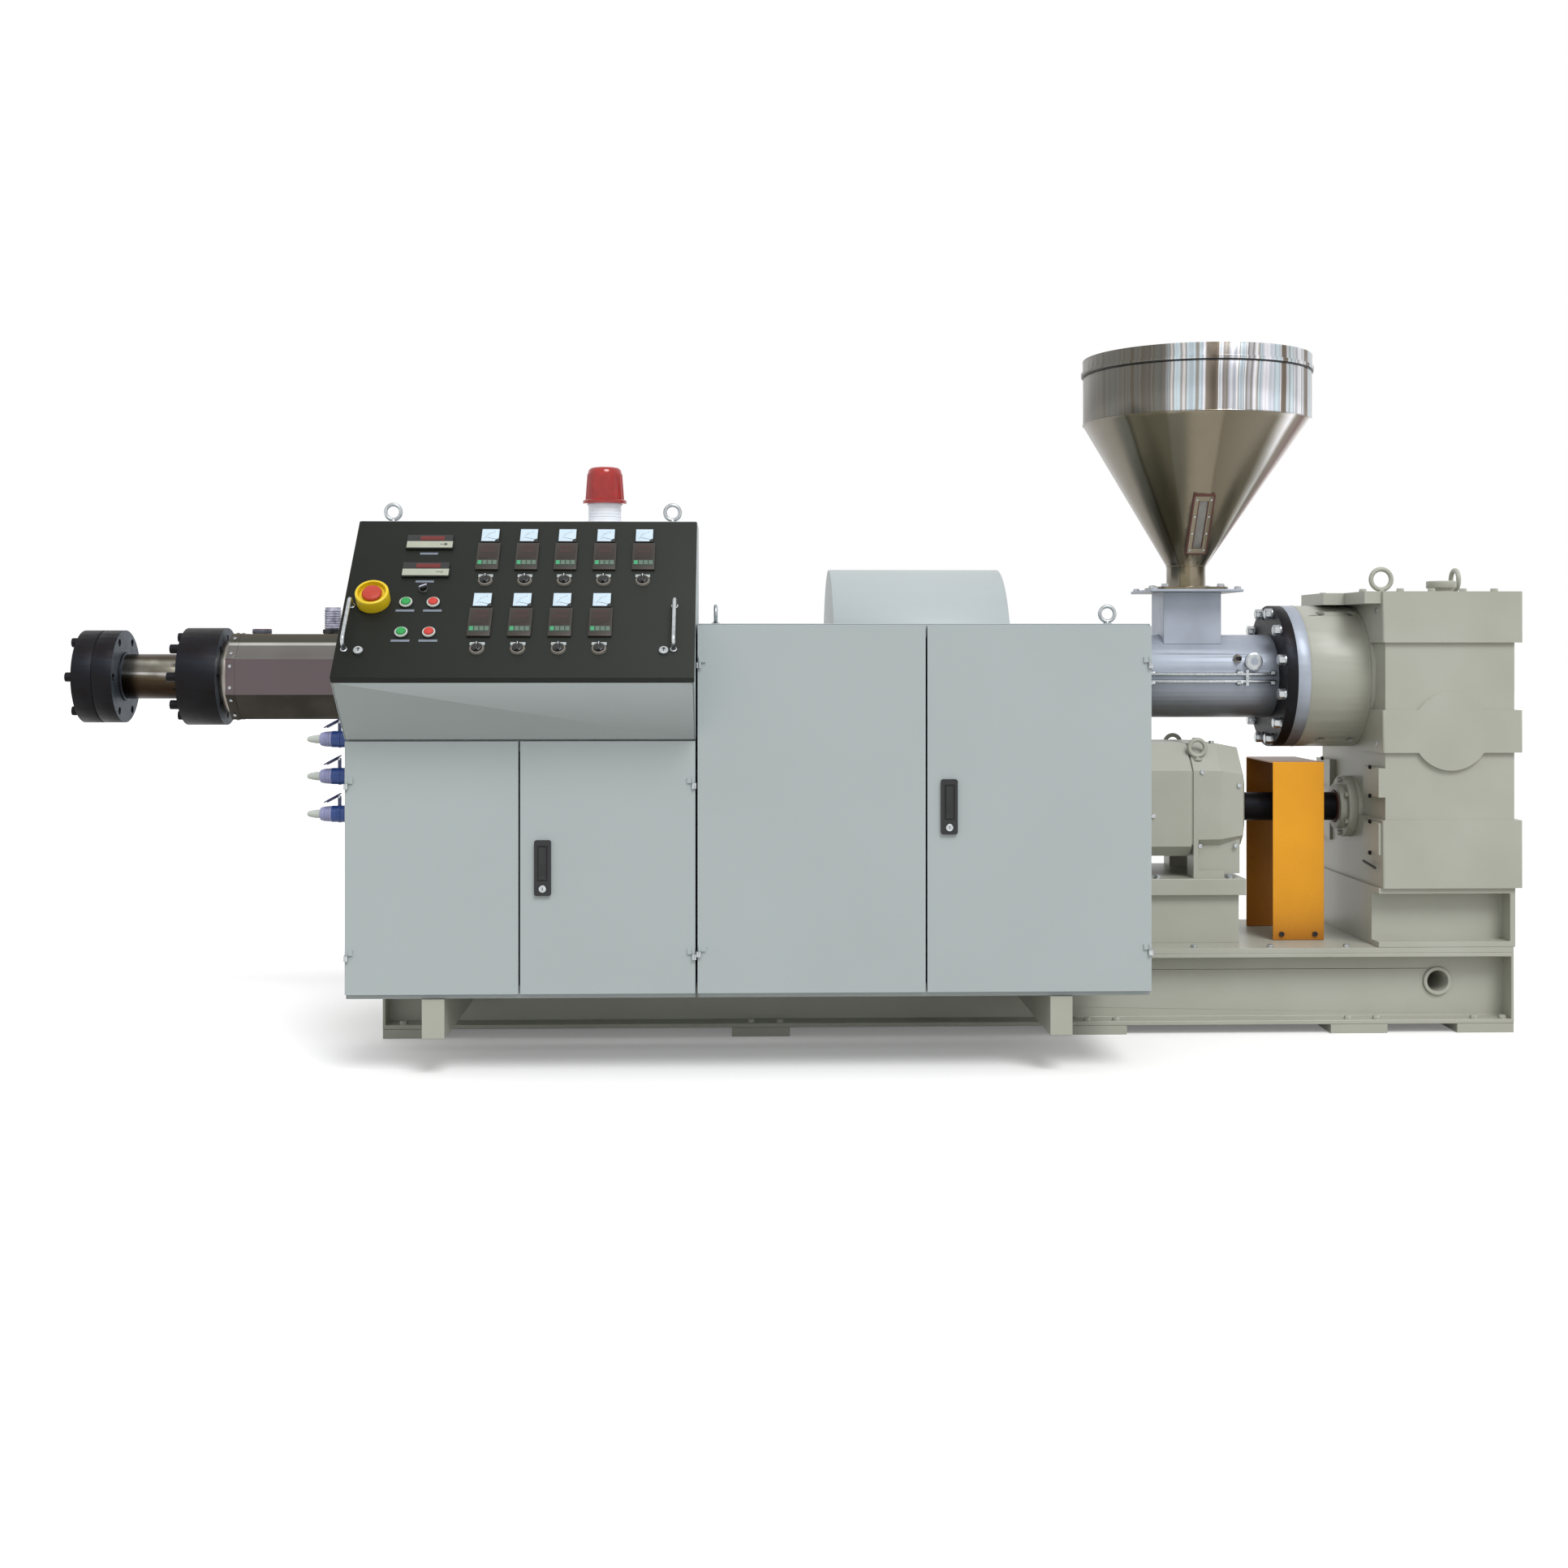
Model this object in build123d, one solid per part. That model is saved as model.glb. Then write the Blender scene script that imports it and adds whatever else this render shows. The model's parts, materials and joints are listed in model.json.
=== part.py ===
from build123d import *
import os
from math import cos, hypot, radians, sin, sqrt

os.makedirs("parts", exist_ok=True)

# A conical twin-screw plastic extruder, in millimetres. X runs from the melt
# outlet on the left to the gearbox on the right, the operator stands at -Y and
# Z is up. Y is 0 at the barrel's axis while the pieces are made, and the
# finished machine is moved so that its box stands centred on the origin.

# Clearances shared by neighbouring pieces
seat_gap = 0.3
door_gap = 5.0
seat_depth = 5.0

# Base frame of channels on foot plates
base_left_x = -1127.0
base_length = 3170.0
base_half_width = 280.0
foot_thickness = 25.0
foot_length = 162.0
foot_width = 120.0
channel_height = 200.0
channel_flange = 75.0
channel_web = 10.0
channel_lip = 12.0
cross_member_count = 5
cross_width = 60.0
deck_thickness = 15.0
lifting_pipe_outer_radius = 40.0
lifting_pipe_inner_radius = 30.0
lifting_pipe_z = 135.0
lifting_pipe_left_inset = 297.0
lifting_pipe_right_inset = 195.0
lifting_pipe_proud = 8.0
end_plate = 8.0
foot_fractions = [0.305, 0.603]
foot_right_inset = 521.0

base_right_x = base_left_x + base_length
lifting_pipe_places = [base_left_x + lifting_pipe_left_inset, base_right_x - lifting_pipe_right_inset]
channel_bottom_z = foot_thickness
channel_top_z = channel_bottom_z + channel_height
deck_top_z = channel_top_z + deck_thickness

# Height of the barrel's axis and of the drive shaft
barrel_axis_z = 1000.0
shaft_axis_z = 615.0

# Electrical cabinets in front of the barrel
cabinet_front_y = -783.0
cabinet_back_y = -343.0
cabinet_bottom_z = 200.0
cabinet_top_z = 1144.0
cabinet_sheet = 3.0
cabinet_right_x = 903.0
cabinet_left_x = -247.0
cabinet_seam_x = 331.0
console_right_x = -251.0
console_left_x = -1129.0
console_seam_x = -693.0
door_depth = 20.0
door_sheet = 2.5
door_bottom_z = 214.0
door_frame_width = 32.0
door_frame_depth = 15.0
cabinet_door_top_z = 1138.0
console_door_top_z = 848.0

door_back_y = cabinet_front_y + door_depth
frame_front_y = door_back_y + seat_gap
frame_back_y = frame_front_y + door_frame_depth

# Beams that carry the cabinets out from the base frame
beam_width = 57.0
beam_height = 100.0
beam_wall = 6.0
beam_setback = 12.0
beam_front_y = cabinet_front_y + beam_setback
beam_left_x = -910.0
beam_right_x = 675.0
beam_bottom_z = cabinet_bottom_z - beam_height

# Door hinges
hinge_pin_radius = 4.0
hinge_knuckle_height = 14.0
hinge_leaf = 1.5
hinge_leaf_width = 15.0
hinge_inset = 6.0
hinge_axis_y = cabinet_front_y - 5.0
door_side_inset = 1.0
door_relief_depth = 1.5
door_relief_width = 12.0
console_hinge_heights = [743.0, 313.0]
cabinet_hinge_heights = [1046.0, 320.0]

# Swing locks on the doors
lock_width = 42.0
lock_height = 139.0
lock_depth = 9.0
lock_corner = 6.0
lock_well_width = 26.0
lock_well_height = 89.0
lock_well_depth = 4.0
lock_lever_width = 18.0
lock_lever_height = 81.0
lock_lever_rise = 12.0
lock_cylinder_radius = 11.0
lock_cylinder_drop = 52.0
lock_cylinder_proud = 2.0
console_lock_x = -634.0
console_lock_z = 531.0
cabinet_lock_x = 388.0
cabinet_lock_z = 682.0

# Sloped operator panel on the console
panel_top_y = -589.0
panel_top_z = 1413.0
panel_nose_y = -957.0
panel_nose_z = 1010.0
panel_depth = 18.0
panel_sheet = 3.0
panel_hinge_radius = 4.0
nose_bottom_z = console_door_top_z + door_gap

panel_rise = panel_top_z - panel_nose_z
panel_run = panel_top_y - panel_nose_y
panel_length = hypot(panel_run, panel_rise)
panel_normal_y = -panel_rise / panel_length
panel_normal_z = panel_run / panel_length

# Instruments: columns along X, rows measured down the panel from its top edge
column_first_x = -784.0
column_pitch = 99.4
upper_row_columns = 5
lower_row_columns = 4
ammeter_rows = [58.0, 289.0]
controller_rows = [134.0, 365.0]
selector_rows = [218.0, 452.0]
ammeter_size = 48.0
ammeter_height = 7.0
case_edge = 2.0
controller_width = 58.0
controller_length = 96.0
controller_height = 8.0
selector_radius = 19.0
selector_height = 7.0
selector_knob_height = 16.0
selector_grip_width = 8.0
meter_x = -936.0
meter_rows = [83.0, 183.0]
meter_width = 120.0
meter_length = 50.0
meter_height = 9.0
small_knob_row = 249.0
small_knob_radius = 12.0
small_knob_taper = 3.0
button_columns = [-974.0, -906.0]
button_rows = [297.0, 399.0]
button_ring_radius = 17.0
button_height = 8.0
button_cap_radius = 12.0
button_cap_height = 13.0
stop_x = -1056.0
stop_row = 289.0
stop_box_radius = 42.0
stop_box_height = 34.0
stop_head_radius = 27.0
stop_head_height = 56.0
stop_head_thickness = 16.0
stop_head_edge = 5.0
stop_stem_radius = 14.0
panel_handle_columns = [-1107.0, -303.0]
panel_handle_row = 380.0
panel_handle_length = 157.0
panel_handle_radius = 5.0
panel_handle_height = 38.0
panel_handle_bend = 12.0
panel_lock_columns = [-1071.0, -327.0]
panel_lock_row = 460.0
panel_lock_radius = 12.0
panel_lock_height = 9.0

# Beacon and lifting eyes on the cabinets
beacon_x = -498.0
beacon_y = -500.0
beacon_base_radius = 45.0
beacon_base_height = 52.0
beacon_lens_radius = 51.0
beacon_lens_top_radius = 46.0
beacon_rim_radius = 58.0
beacon_rim_height = 10.0
beacon_top_z = 1562.0
beacon_edge = 16.0
eye_ring_radius = 20.0
eye_wire_radius = 5.0
eye_collar_radius = 13.0
console_eye_columns = [-1058.0, -318.0]
cabinet_eye_columns = [-203.0, 846.0]
eye_y = -500.0

# Plug sockets on the console's left side
socket_heights = [848.0, 753.0, 656.0]
socket_y = -650.0
socket_plate = 60.0
socket_radius = 21.0
socket_plate_thickness = 6.0
socket_neck_length = 45.0
socket_lid_length = 52.0
socket_lid_width = 44.0
socket_lid_thickness = 3.0
socket_lid_turn = 28.6
socket_lid_offset = 57.0
socket_lid_rise = 41.0
socket_link_width = 10.0
plug_radius = 19.0
plug_body_length = 35.0
plug_tip_length = 42.0
plug_tip_radius = 7.6

# Melt outlet, seen from the left end
outlet_flange_radius = 134.0
outlet_flange_left_x = -2035.0
outlet_flange_thickness = 57.0
outlet_seam_depth = 5.0
outlet_seam_width = 4.0
outlet_bolt_circle = 226.0
outlet_bolt_count = 6
outlet_bolt_radius = 13.0
outlet_bolt_head = 20.0
outlet_hole_radius = 11.0
outlet_hole_depth = 22.0
outlet_bore_radius = 35.0
adapter_pipe_radius = 65.0
adapter_pipe_right_x = -1739.0
head_flange_radius = 141.0
head_flange_right_x = -1627.0
head_bolt_circle = 226.0
head_bolt_count = 8
head_bolt_radius = 13.0
head_bolt_length = 30.0
head_hole_radius = 8.0
head_hole_depth = 18.0
collar_radius = 108.0

# Barrel inside its folded heater cover, and the round hood over it
barrel_core_radius = 95.0
cover_left_x = -1602.0
cover_right_x = 1030.0
cover_across_flats = 246.0
cover_sides = 8
cover_knob_x = -1528.0
cover_knob_radius = 27.0
cover_knob_height = 15.0
hood_left_x = 123.0
hood_right_x = 618.0
hood_radius = 312.0
hood_sheet = 4.0
hood_bottom_z = 890.0
support_left_inset = 367.0
support_to_pedestal = 220.0
support_length = 120.0
support_plate = 15.0
support_foot_width = 360.0
support_web_width = 240.0
support_top_width = 180.0
conduit_x = -1323.0
conduit_radius = 24.0
conduit_nut_radius = 30.0
conduit_nut_height = 14.0
conduit_height = 78.0

# Feed section of the barrel
feed_barrel_right_x = 1423.0
feed_barrel_radius = 121.5
feed_boss_x = 1347.0
feed_boss_z = 1044.0
feed_boss_radius = 22.0
feed_boss_height = 22.0
coolant_pipe_radius = 5.0
coolant_pipe_heights = [1007.0, 986.0]
coolant_pipe_right_x = 1412.0
coolant_clamp_x = 1327.0
coolant_clamp_width = 8.0
coolant_clamp_proud = 3.0
coolant_clamp_reach = 12.0

# Throat and hopper
throat_centre_x = 1181.0
throat_length = 169.0
throat_depth = 155.0
throat_height = 123.5
throat_flange = 270.0
throat_flange_thickness = 8.0
throat_opening = 90.0
hopper_neck_radius = 56.5
hopper_neck_height = 62.0
hopper_radius = 330.0
hopper_cone_height = 422.0
hopper_drum_height = 151.0
hopper_sheet = 4.0
hopper_flange_length = 208.0
hopper_flange_thickness = 8.0
hopper_foot_corner = 24.0
hopper_offset_x = 30.0
sight_frame_width = 62.0
sight_frame_length = 196.0
sight_frame_proud = 6.0
sight_pane_width = 30.0
sight_pane_length = 156.0
sight_height = 117.0
lid_rim_height = 8.0
lid_bead_height = 10.0
lid_overhang = 6.0
lid_wall_proud = 1.0
lid_height = 38.0

# Rear flange of the barrel and the round distribution housing
rear_flange_radius = 207.5
rear_flange_right_x = 1454.0
rear_bolt_circle = 378.0
rear_bolt_count = 12
rear_bolt_radius = 13.0
rear_bolt_length = 22.0
ring_right_x = 1490.0
housing_radius = 207.5
housing_right_x = 1666.0
pocket_radius = 13.0
pocket_depth = 14.0
pocket_angle = 62.0
pocket_places = [1550.0, 1638.0]

# Gearbox
gearbox_right_x = 2044.0
gearbox_half_depth = 280.0
gearbox_bottom_z = 407.0
gearbox_top_z = 1242.0
band_proud = 11.0
band_right_proud = 20.0
low_band_height = 191.0
middle_band_height = 120.0
top_band_height = 144.0
boss_x = 1861.0
boss_z = 848.0
boss_radius = 110.0
gearbox_edge = 6.0
top_plate_thickness = 34.0
top_plate_left_x = 1618.0
top_pad_left_x = 1557.0
top_pad_half_depth = 105.0
side_pad_proud = 8.0
side_pad_inner_y = 150.0
side_pad_heights = [[500.0, 589.0], [662.0, 744.0]]
riser_left_x = 1658.0
riser_right_x = 2048.0
riser_web_depth = 60.0
riser_plate = 16.0
gearbox_eye_places = [[1763.0, 0.0], [2011.0, 70.0]]
gearbox_eye_radius = 30.0
gearbox_eye_wire = 7.0
gearbox_eye_collar = 20.0
filler_x = 1943.0
filler_neck_radius = 33.0
filler_neck_height = 18.0
filler_lid_radius = 43.0
filler_lid_height = 21.0
input_cap_radius = 90.0
input_cap_left_x = 1640.0
input_hub_radius = 66.0
input_hub_left_x = 1622.0

# Drive motor, its pedestal, the coupling and its guard
motor_left_x = 560.0
motor_right_x = 1316.0
motor_half_width = 185.0
motor_top_z = 807.0
motor_bevel_width = 70.0
motor_bevel_height = 75.0
motor_lower_bevel = 30.0
motor_foot_z = 425.0
stator_bottom_z = 486.0
bell_bottom_z = 505.0
bell_length = 158.0
bell_steps = [[0.0, 0.0], [79.0, 1.0], [146.0, 12.0], [158.0, 44.0]]
motor_seam_width = 6.0
motor_seam_depth = 5.0
motor_foot_length = 88.0
motor_foot_height = 22.0
motor_foot_width = 75.0
motor_foot_inset = 20.0
motor_rib = 14.0
motor_eye_inset = 19.0
motor_eye_y = 150.0
motor_eye_z = 760.0
motor_eye_radius = 23.0
motor_eye_wire = 6.5
motor_eye_collar = 15.0
cowl_radius = 165.0
cowl_length = 110.0
cowl_hub_radius = 55.0
pedestal_right_x = 1290.0
pedestal_left_x = 600.0
pedestal_plate = 47.0
pedestal_overhang = 20.0
pedestal_end_overhang = 15.0
pedestal_half_width = 200.0
coupling_radius = 41.5
drive_shaft_radius = 31.5
shaft_clearance = 6.0
coupling_left_x = 1332.0
guard_left_x = 1399.0
guard_length = 149.0
guard_top_z = 754.0
guard_half_depth = 140.0
guard_sheet = 4.0


nodes = {}


def block(x0, x1, y0, y1, z0, z1):
    """A plain plate or bar between the given faces."""
    size = Box(x1 - x0, y1 - y0, z1 - z0)
    return Pos((x0 + x1) / 2, (y0 + y1) / 2, (z0 + z1) / 2) * size


def round_x(x0, x1, y, z, radius):
    """A round bar along X."""
    return Pos((x0 + x1) / 2, y, z) * Rot(0, 90, 0) * Cylinder(radius, x1 - x0)


def round_y(y0, y1, x, z, radius):
    """A round bar along Y."""
    return Pos(x, (y0 + y1) / 2, z) * Rot(90, 0, 0) * Cylinder(radius, y1 - y0)


def round_z(z0, z1, x, y, radius):
    """A round bar along Z."""
    return Pos(x, y, (z0 + z1) / 2) * Cylinder(radius, z1 - z0)


def along_x(points, x0, x1):
    """A prism along X with its outline given as (y, z) points."""
    outline = make_face(Polyline(*points, close=True))
    return Pos(x0, 0, 0) * extrude(Plane.YZ * outline, amount=x1 - x0)


def keep(name, *solids):
    """Files one node with the solids that it is made of."""
    nodes[name] = [piece for solid in solids for piece in solid.solids()]


# Where a distance down the operator panel, and a depth below its face, lies
def panel_point(down, depth):
    y = panel_top_y - down * panel_run / panel_length - depth * panel_normal_y
    z = panel_top_z - down * panel_rise / panel_length - depth * panel_normal_z
    return (y, z)


# The axis that the operator panel swings up about
panel_axis_y, panel_axis_z = panel_point(-panel_hinge_radius - seat_gap, panel_depth / 2)
console_roof_front_y = panel_axis_y + panel_hinge_radius


# The operator panel's own plane: X along it, Y up the slope and Z out of it
panel_plane = Plane(
    origin=(0, panel_top_y, panel_top_z),
    x_dir=(1, 0, 0),
    z_dir=(0, panel_normal_y, panel_normal_z),
)


def on_panel(x, down, height):
    """A place on the operator panel, at a height above its face."""
    return panel_plane * Pos(x, -down, height)


# Base frame
def channel(sign):
    """One side channel, with its flanges turned outwards."""
    outer = sign * base_half_width
    inner = sign * (base_half_width - channel_flange)
    web = sign * (base_half_width - channel_flange + channel_web)
    points = [
        (inner, channel_bottom_z),
        (outer, channel_bottom_z),
        (outer, channel_bottom_z + channel_lip),
        (web, channel_bottom_z + channel_lip),
        (web, channel_top_z - channel_lip),
        (outer, channel_top_z - channel_lip),
        (outer, channel_top_z),
        (inner, channel_top_z),
    ]
    return along_x(points, base_left_x, base_right_x)


web_inner_y = base_half_width - channel_flange
web_outer_y = web_inner_y + channel_web
side_channels = []
for sign in (-1, 1):
    rail = channel(sign)
    for x in (base_left_x, base_right_x - end_plate):
        near = sign * web_inner_y
        far = sign * base_half_width
        rail += block(x, x + end_plate, min(near, far), max(near, far), channel_bottom_z, channel_top_z)
    for x in lifting_pipe_places:
        reach = sign * base_half_width
        rail -= round_y(min(0, reach), max(0, reach), x, lifting_pipe_z, lifting_pipe_outer_radius)
    side_channels.append(rail)
keep("base_side_channels", *side_channels)

cross_members = []
cross_pitch = (base_length - cross_width) / (cross_member_count - 1)
for index in range(cross_member_count):
    x = base_left_x + index * cross_pitch
    beam = block(x, x + cross_width, -web_inner_y, web_inner_y, channel_bottom_z, channel_top_z)
    hollow = block(
        x + channel_web,
        x + cross_width,
        -web_inner_y,
        web_inner_y,
        channel_bottom_z + channel_lip,
        channel_top_z - channel_lip,
    )
    cross_members.append(beam - hollow)
keep("base_cross_members", *cross_members)

feet = []
foot_places = [base_left_x + base_length * fraction for fraction in foot_fractions]
foot_places += [base_left_x, base_right_x - foot_right_inset, base_right_x - foot_length]
for x in foot_places:
    for sign in (-1, 1):
        outer = sign * base_half_width
        inner = sign * (base_half_width - foot_width)
        feet.append(block(x, x + foot_length, min(outer, inner), max(outer, inner), 0, foot_thickness))
keep("base_feet", *feet)

keep(
    "deck_plate",
    block(
        base_left_x,
        base_right_x,
        -base_half_width,
        base_half_width,
        channel_top_z,
        deck_top_z,
    ),
)

lifting_pipes = []
lifting_pipe_end_y = web_outer_y + lifting_pipe_proud
for x in lifting_pipe_places:
    tube = round_y(
        -lifting_pipe_end_y,
        lifting_pipe_end_y,
        x,
        lifting_pipe_z,
        lifting_pipe_outer_radius,
    )
    tube -= round_y(
        -lifting_pipe_end_y,
        lifting_pipe_end_y,
        x,
        lifting_pipe_z,
        lifting_pipe_inner_radius,
    )
    lifting_pipes.append(tube)
keep("lifting_pipes", *lifting_pipes)

beams = []
beam_back_y = -web_outer_y
for x in (beam_left_x, beam_right_x):
    outer = block(
        x - beam_width / 2,
        x + beam_width / 2,
        beam_front_y,
        beam_back_y,
        beam_bottom_z,
        cabinet_bottom_z,
    )
    inner = block(
        x - beam_width / 2 + beam_wall,
        x + beam_width / 2 - beam_wall,
        beam_front_y + beam_wall,
        beam_back_y,
        beam_bottom_z + beam_wall,
        cabinet_bottom_z - beam_wall,
    )
    beams.append(outer - inner)
keep("cabinet_beams", *beams)


# Cabinet shells
def floor_panel(x0, x1):
    """The floor of a cabinet, between its sides."""
    return block(
        x0 + cabinet_sheet,
        x1 - cabinet_sheet,
        frame_back_y,
        cabinet_back_y - cabinet_sheet,
        cabinet_bottom_z,
        cabinet_bottom_z + cabinet_sheet,
    )


def back_panel(x0, x1, top):
    """The back of a cabinet, between its sides."""
    return block(
        x0 + cabinet_sheet,
        x1 - cabinet_sheet,
        cabinet_back_y - cabinet_sheet,
        cabinet_back_y,
        cabinet_bottom_z,
        top - cabinet_sheet,
    )


slope_low = panel_point(panel_length, panel_depth + seat_gap)
slope_high = panel_point(0, panel_depth + seat_gap)
console_profile = [
    (frame_front_y, cabinet_bottom_z),
    (frame_front_y, nose_bottom_z),
    (cabinet_front_y, nose_bottom_z),
    slope_low,
    slope_high,
    (slope_high[0], panel_top_z),
    (cabinet_back_y, panel_top_z),
    (cabinet_back_y, cabinet_bottom_z),
]

keep(
    "cabinet_floors",
    floor_panel(console_left_x, console_right_x),
    floor_panel(cabinet_left_x, cabinet_right_x),
)
keep(
    "cabinet_back_panels",
    back_panel(console_left_x, console_right_x, panel_top_z),
    back_panel(cabinet_left_x, cabinet_right_x, cabinet_top_z),
)
keep(
    "console_side_panels",
    along_x(console_profile, console_left_x, console_left_x + cabinet_sheet),
    along_x(console_profile, console_right_x - cabinet_sheet, console_right_x),
)
keep(
    "cabinet_side_panels",
    block(
        cabinet_left_x,
        cabinet_left_x + cabinet_sheet,
        frame_front_y,
        cabinet_back_y,
        cabinet_bottom_z,
        cabinet_top_z,
    ),
    block(
        cabinet_right_x - cabinet_sheet,
        cabinet_right_x,
        frame_front_y,
        cabinet_back_y,
        cabinet_bottom_z,
        cabinet_top_z,
    ),
)
keep(
    "cabinet_top_panels",
    block(
        console_left_x + cabinet_sheet,
        console_right_x - cabinet_sheet,
        console_roof_front_y,
        cabinet_back_y,
        panel_top_z - cabinet_sheet,
        panel_top_z,
    ),
    block(
        cabinet_left_x + cabinet_sheet,
        cabinet_right_x - cabinet_sheet,
        frame_front_y,
        cabinet_back_y,
        cabinet_top_z - cabinet_sheet,
        cabinet_top_z,
    ),
)

# The folded sheet under the operator panel, with its shelf over the doors
nose_inner_low = (cabinet_front_y + cabinet_sheet, nose_bottom_z + cabinet_sheet)
nose_inner_high = (slope_low[0] + 2 * cabinet_sheet, slope_low[1] + cabinet_sheet / 2)
nose_profile = [
    (frame_back_y, nose_bottom_z),
    (cabinet_front_y, nose_bottom_z),
    slope_low,
    nose_inner_high,
    nose_inner_low,
    (frame_back_y, nose_bottom_z + cabinet_sheet),
]
keep(
    "console_nose_panel",
    along_x(nose_profile, console_left_x + cabinet_sheet, console_right_x - cabinet_sheet),
)


def door_frame(x0, x1, top):
    """The frame that a cabinet's doors close on."""
    outer = block(
        x0 + cabinet_sheet,
        x1 - cabinet_sheet,
        frame_front_y,
        frame_back_y,
        cabinet_bottom_z,
        top,
    )
    inner = block(
        x0 + door_frame_width,
        x1 - door_frame_width,
        frame_front_y,
        frame_back_y,
        cabinet_bottom_z + door_frame_width,
        top - door_frame_width,
    )
    return outer - inner


keep(
    "door_frames",
    door_frame(console_left_x, console_right_x, nose_bottom_z),
    door_frame(cabinet_left_x, cabinet_right_x, cabinet_top_z - cabinet_sheet),
)


# Doors, each a folded pan on two external hinges
def hinge_knuckle(x, z0, z1):
    return round_z(z0, z1, x, hinge_axis_y, hinge_pin_radius)


def door(side_x, free_x, bottom, top, hinge_heights):
    """A door pan with the moving halves of its hinges."""
    toward = 1 if free_x > side_x else -1
    edge_x = side_x + toward * door_side_inset
    hinge_x = side_x + toward * hinge_inset
    relief_x = edge_x + toward * door_relief_width
    low = min(edge_x, free_x)
    high = max(edge_x, free_x)
    pan = block(low, high, cabinet_front_y, door_back_y, bottom, top)
    pan -= block(
        low + door_sheet,
        high - door_sheet,
        cabinet_front_y + door_sheet,
        door_back_y,
        bottom + door_sheet,
        top - door_sheet,
    )
    pan -= block(
        min(edge_x, relief_x),
        max(edge_x, relief_x),
        door_back_y - door_relief_depth,
        door_back_y,
        bottom,
        top,
    )
    for z in hinge_heights:
        leaf_end = hinge_x + toward * hinge_leaf_width
        leaf_z0 = z
        leaf_z1 = z + hinge_knuckle_height
        pan += block(
            min(hinge_x, leaf_end),
            max(hinge_x, leaf_end),
            hinge_axis_y,
            cabinet_front_y,
            leaf_z0,
            leaf_z1,
        )
        pan += hinge_knuckle(hinge_x, leaf_z0, leaf_z1)
    return pan


door_specs = {
    "console_door_left": [
        console_left_x,
        console_seam_x - door_gap / 2,
        console_door_top_z,
        console_hinge_heights,
    ],
    "console_door_right": [
        console_right_x,
        console_seam_x + door_gap / 2,
        console_door_top_z,
        console_hinge_heights,
    ],
    "cabinet_door_left": [
        cabinet_left_x,
        cabinet_seam_x - door_gap / 2,
        cabinet_door_top_z,
        cabinet_hinge_heights,
    ],
    "cabinet_door_right": [
        cabinet_right_x,
        cabinet_seam_x + door_gap / 2,
        cabinet_door_top_z,
        cabinet_hinge_heights,
    ],
}
fixed_hinges = []
hinge_axes = {}
for name, (side_x, free_x, top, heights) in door_specs.items():
    keep(name, door(side_x, free_x, door_bottom_z, top, heights))
    outward = -1 if free_x > side_x else 1
    hinge_x = side_x - outward * hinge_inset
    hinge_axes[name] = hinge_x
    for z in heights:
        lower = z - seat_gap
        leaf_x = side_x + outward * hinge_leaf
        half = block(
            min(side_x, leaf_x),
            max(side_x, leaf_x),
            hinge_axis_y,
            frame_back_y,
            lower - hinge_knuckle_height,
            lower,
        )
        half += block(
            min(hinge_x, leaf_x),
            max(hinge_x, leaf_x),
            hinge_axis_y - hinge_leaf,
            hinge_axis_y,
            lower - hinge_knuckle_height,
            lower,
        )
        half += hinge_knuckle(hinge_x, lower - hinge_knuckle_height, lower)
        fixed_hinges.append(half)
keep("door_hinges", *fixed_hinges)


def swing_lock(x, z):
    """A recessed swing lock: a rounded plate with its lever lying in it."""
    face_y = cabinet_front_y - lock_depth
    middle_z = z + lock_lever_rise
    plate = Pos(x, cabinet_front_y - lock_depth / 2, z) * Box(lock_width, lock_depth, lock_height)
    plate = fillet(plate.edges().filter_by(Axis.Y), lock_corner)
    plate -= block(
        x - lock_well_width / 2,
        x + lock_well_width / 2,
        face_y,
        face_y + lock_well_depth,
        middle_z - lock_well_height / 2,
        middle_z + lock_well_height / 2,
    )
    plate += block(
        x - lock_lever_width / 2,
        x + lock_lever_width / 2,
        face_y - lock_cylinder_proud,
        face_y + lock_well_depth,
        middle_z - lock_lever_height / 2,
        middle_z + lock_lever_height / 2,
    )
    plate += round_y(
        face_y - lock_cylinder_proud,
        cabinet_front_y,
        x,
        z - lock_cylinder_drop,
        lock_cylinder_radius,
    )
    return plate


keep("console_lock_handle", swing_lock(console_lock_x, console_lock_z))
keep("cabinet_lock_handle", swing_lock(cabinet_lock_x, cabinet_lock_z))

# Operator panel and its instruments
panel_middle_x = (console_left_x + console_right_x) / 2
panel_width = console_right_x - console_left_x
panel_middle = Pos(panel_middle_x, -panel_length / 2, -panel_depth / 2)
panel_pan = panel_middle * Box(panel_width, panel_length, panel_depth)
panel_pan -= panel_middle * Pos(0, 0, -panel_sheet) * Box(
    panel_width - 2 * panel_sheet,
    panel_length - 2 * panel_sheet,
    panel_depth,
)
keep("control_panel", panel_plane * panel_pan)

# The rod that the operator panel swings up on, along its top edge
keep(
    "panel_hinge_rod",
    round_x(
        console_left_x + cabinet_sheet,
        console_right_x - cabinet_sheet,
        panel_axis_y,
        panel_axis_z,
        panel_hinge_radius,
    ),
)

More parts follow.
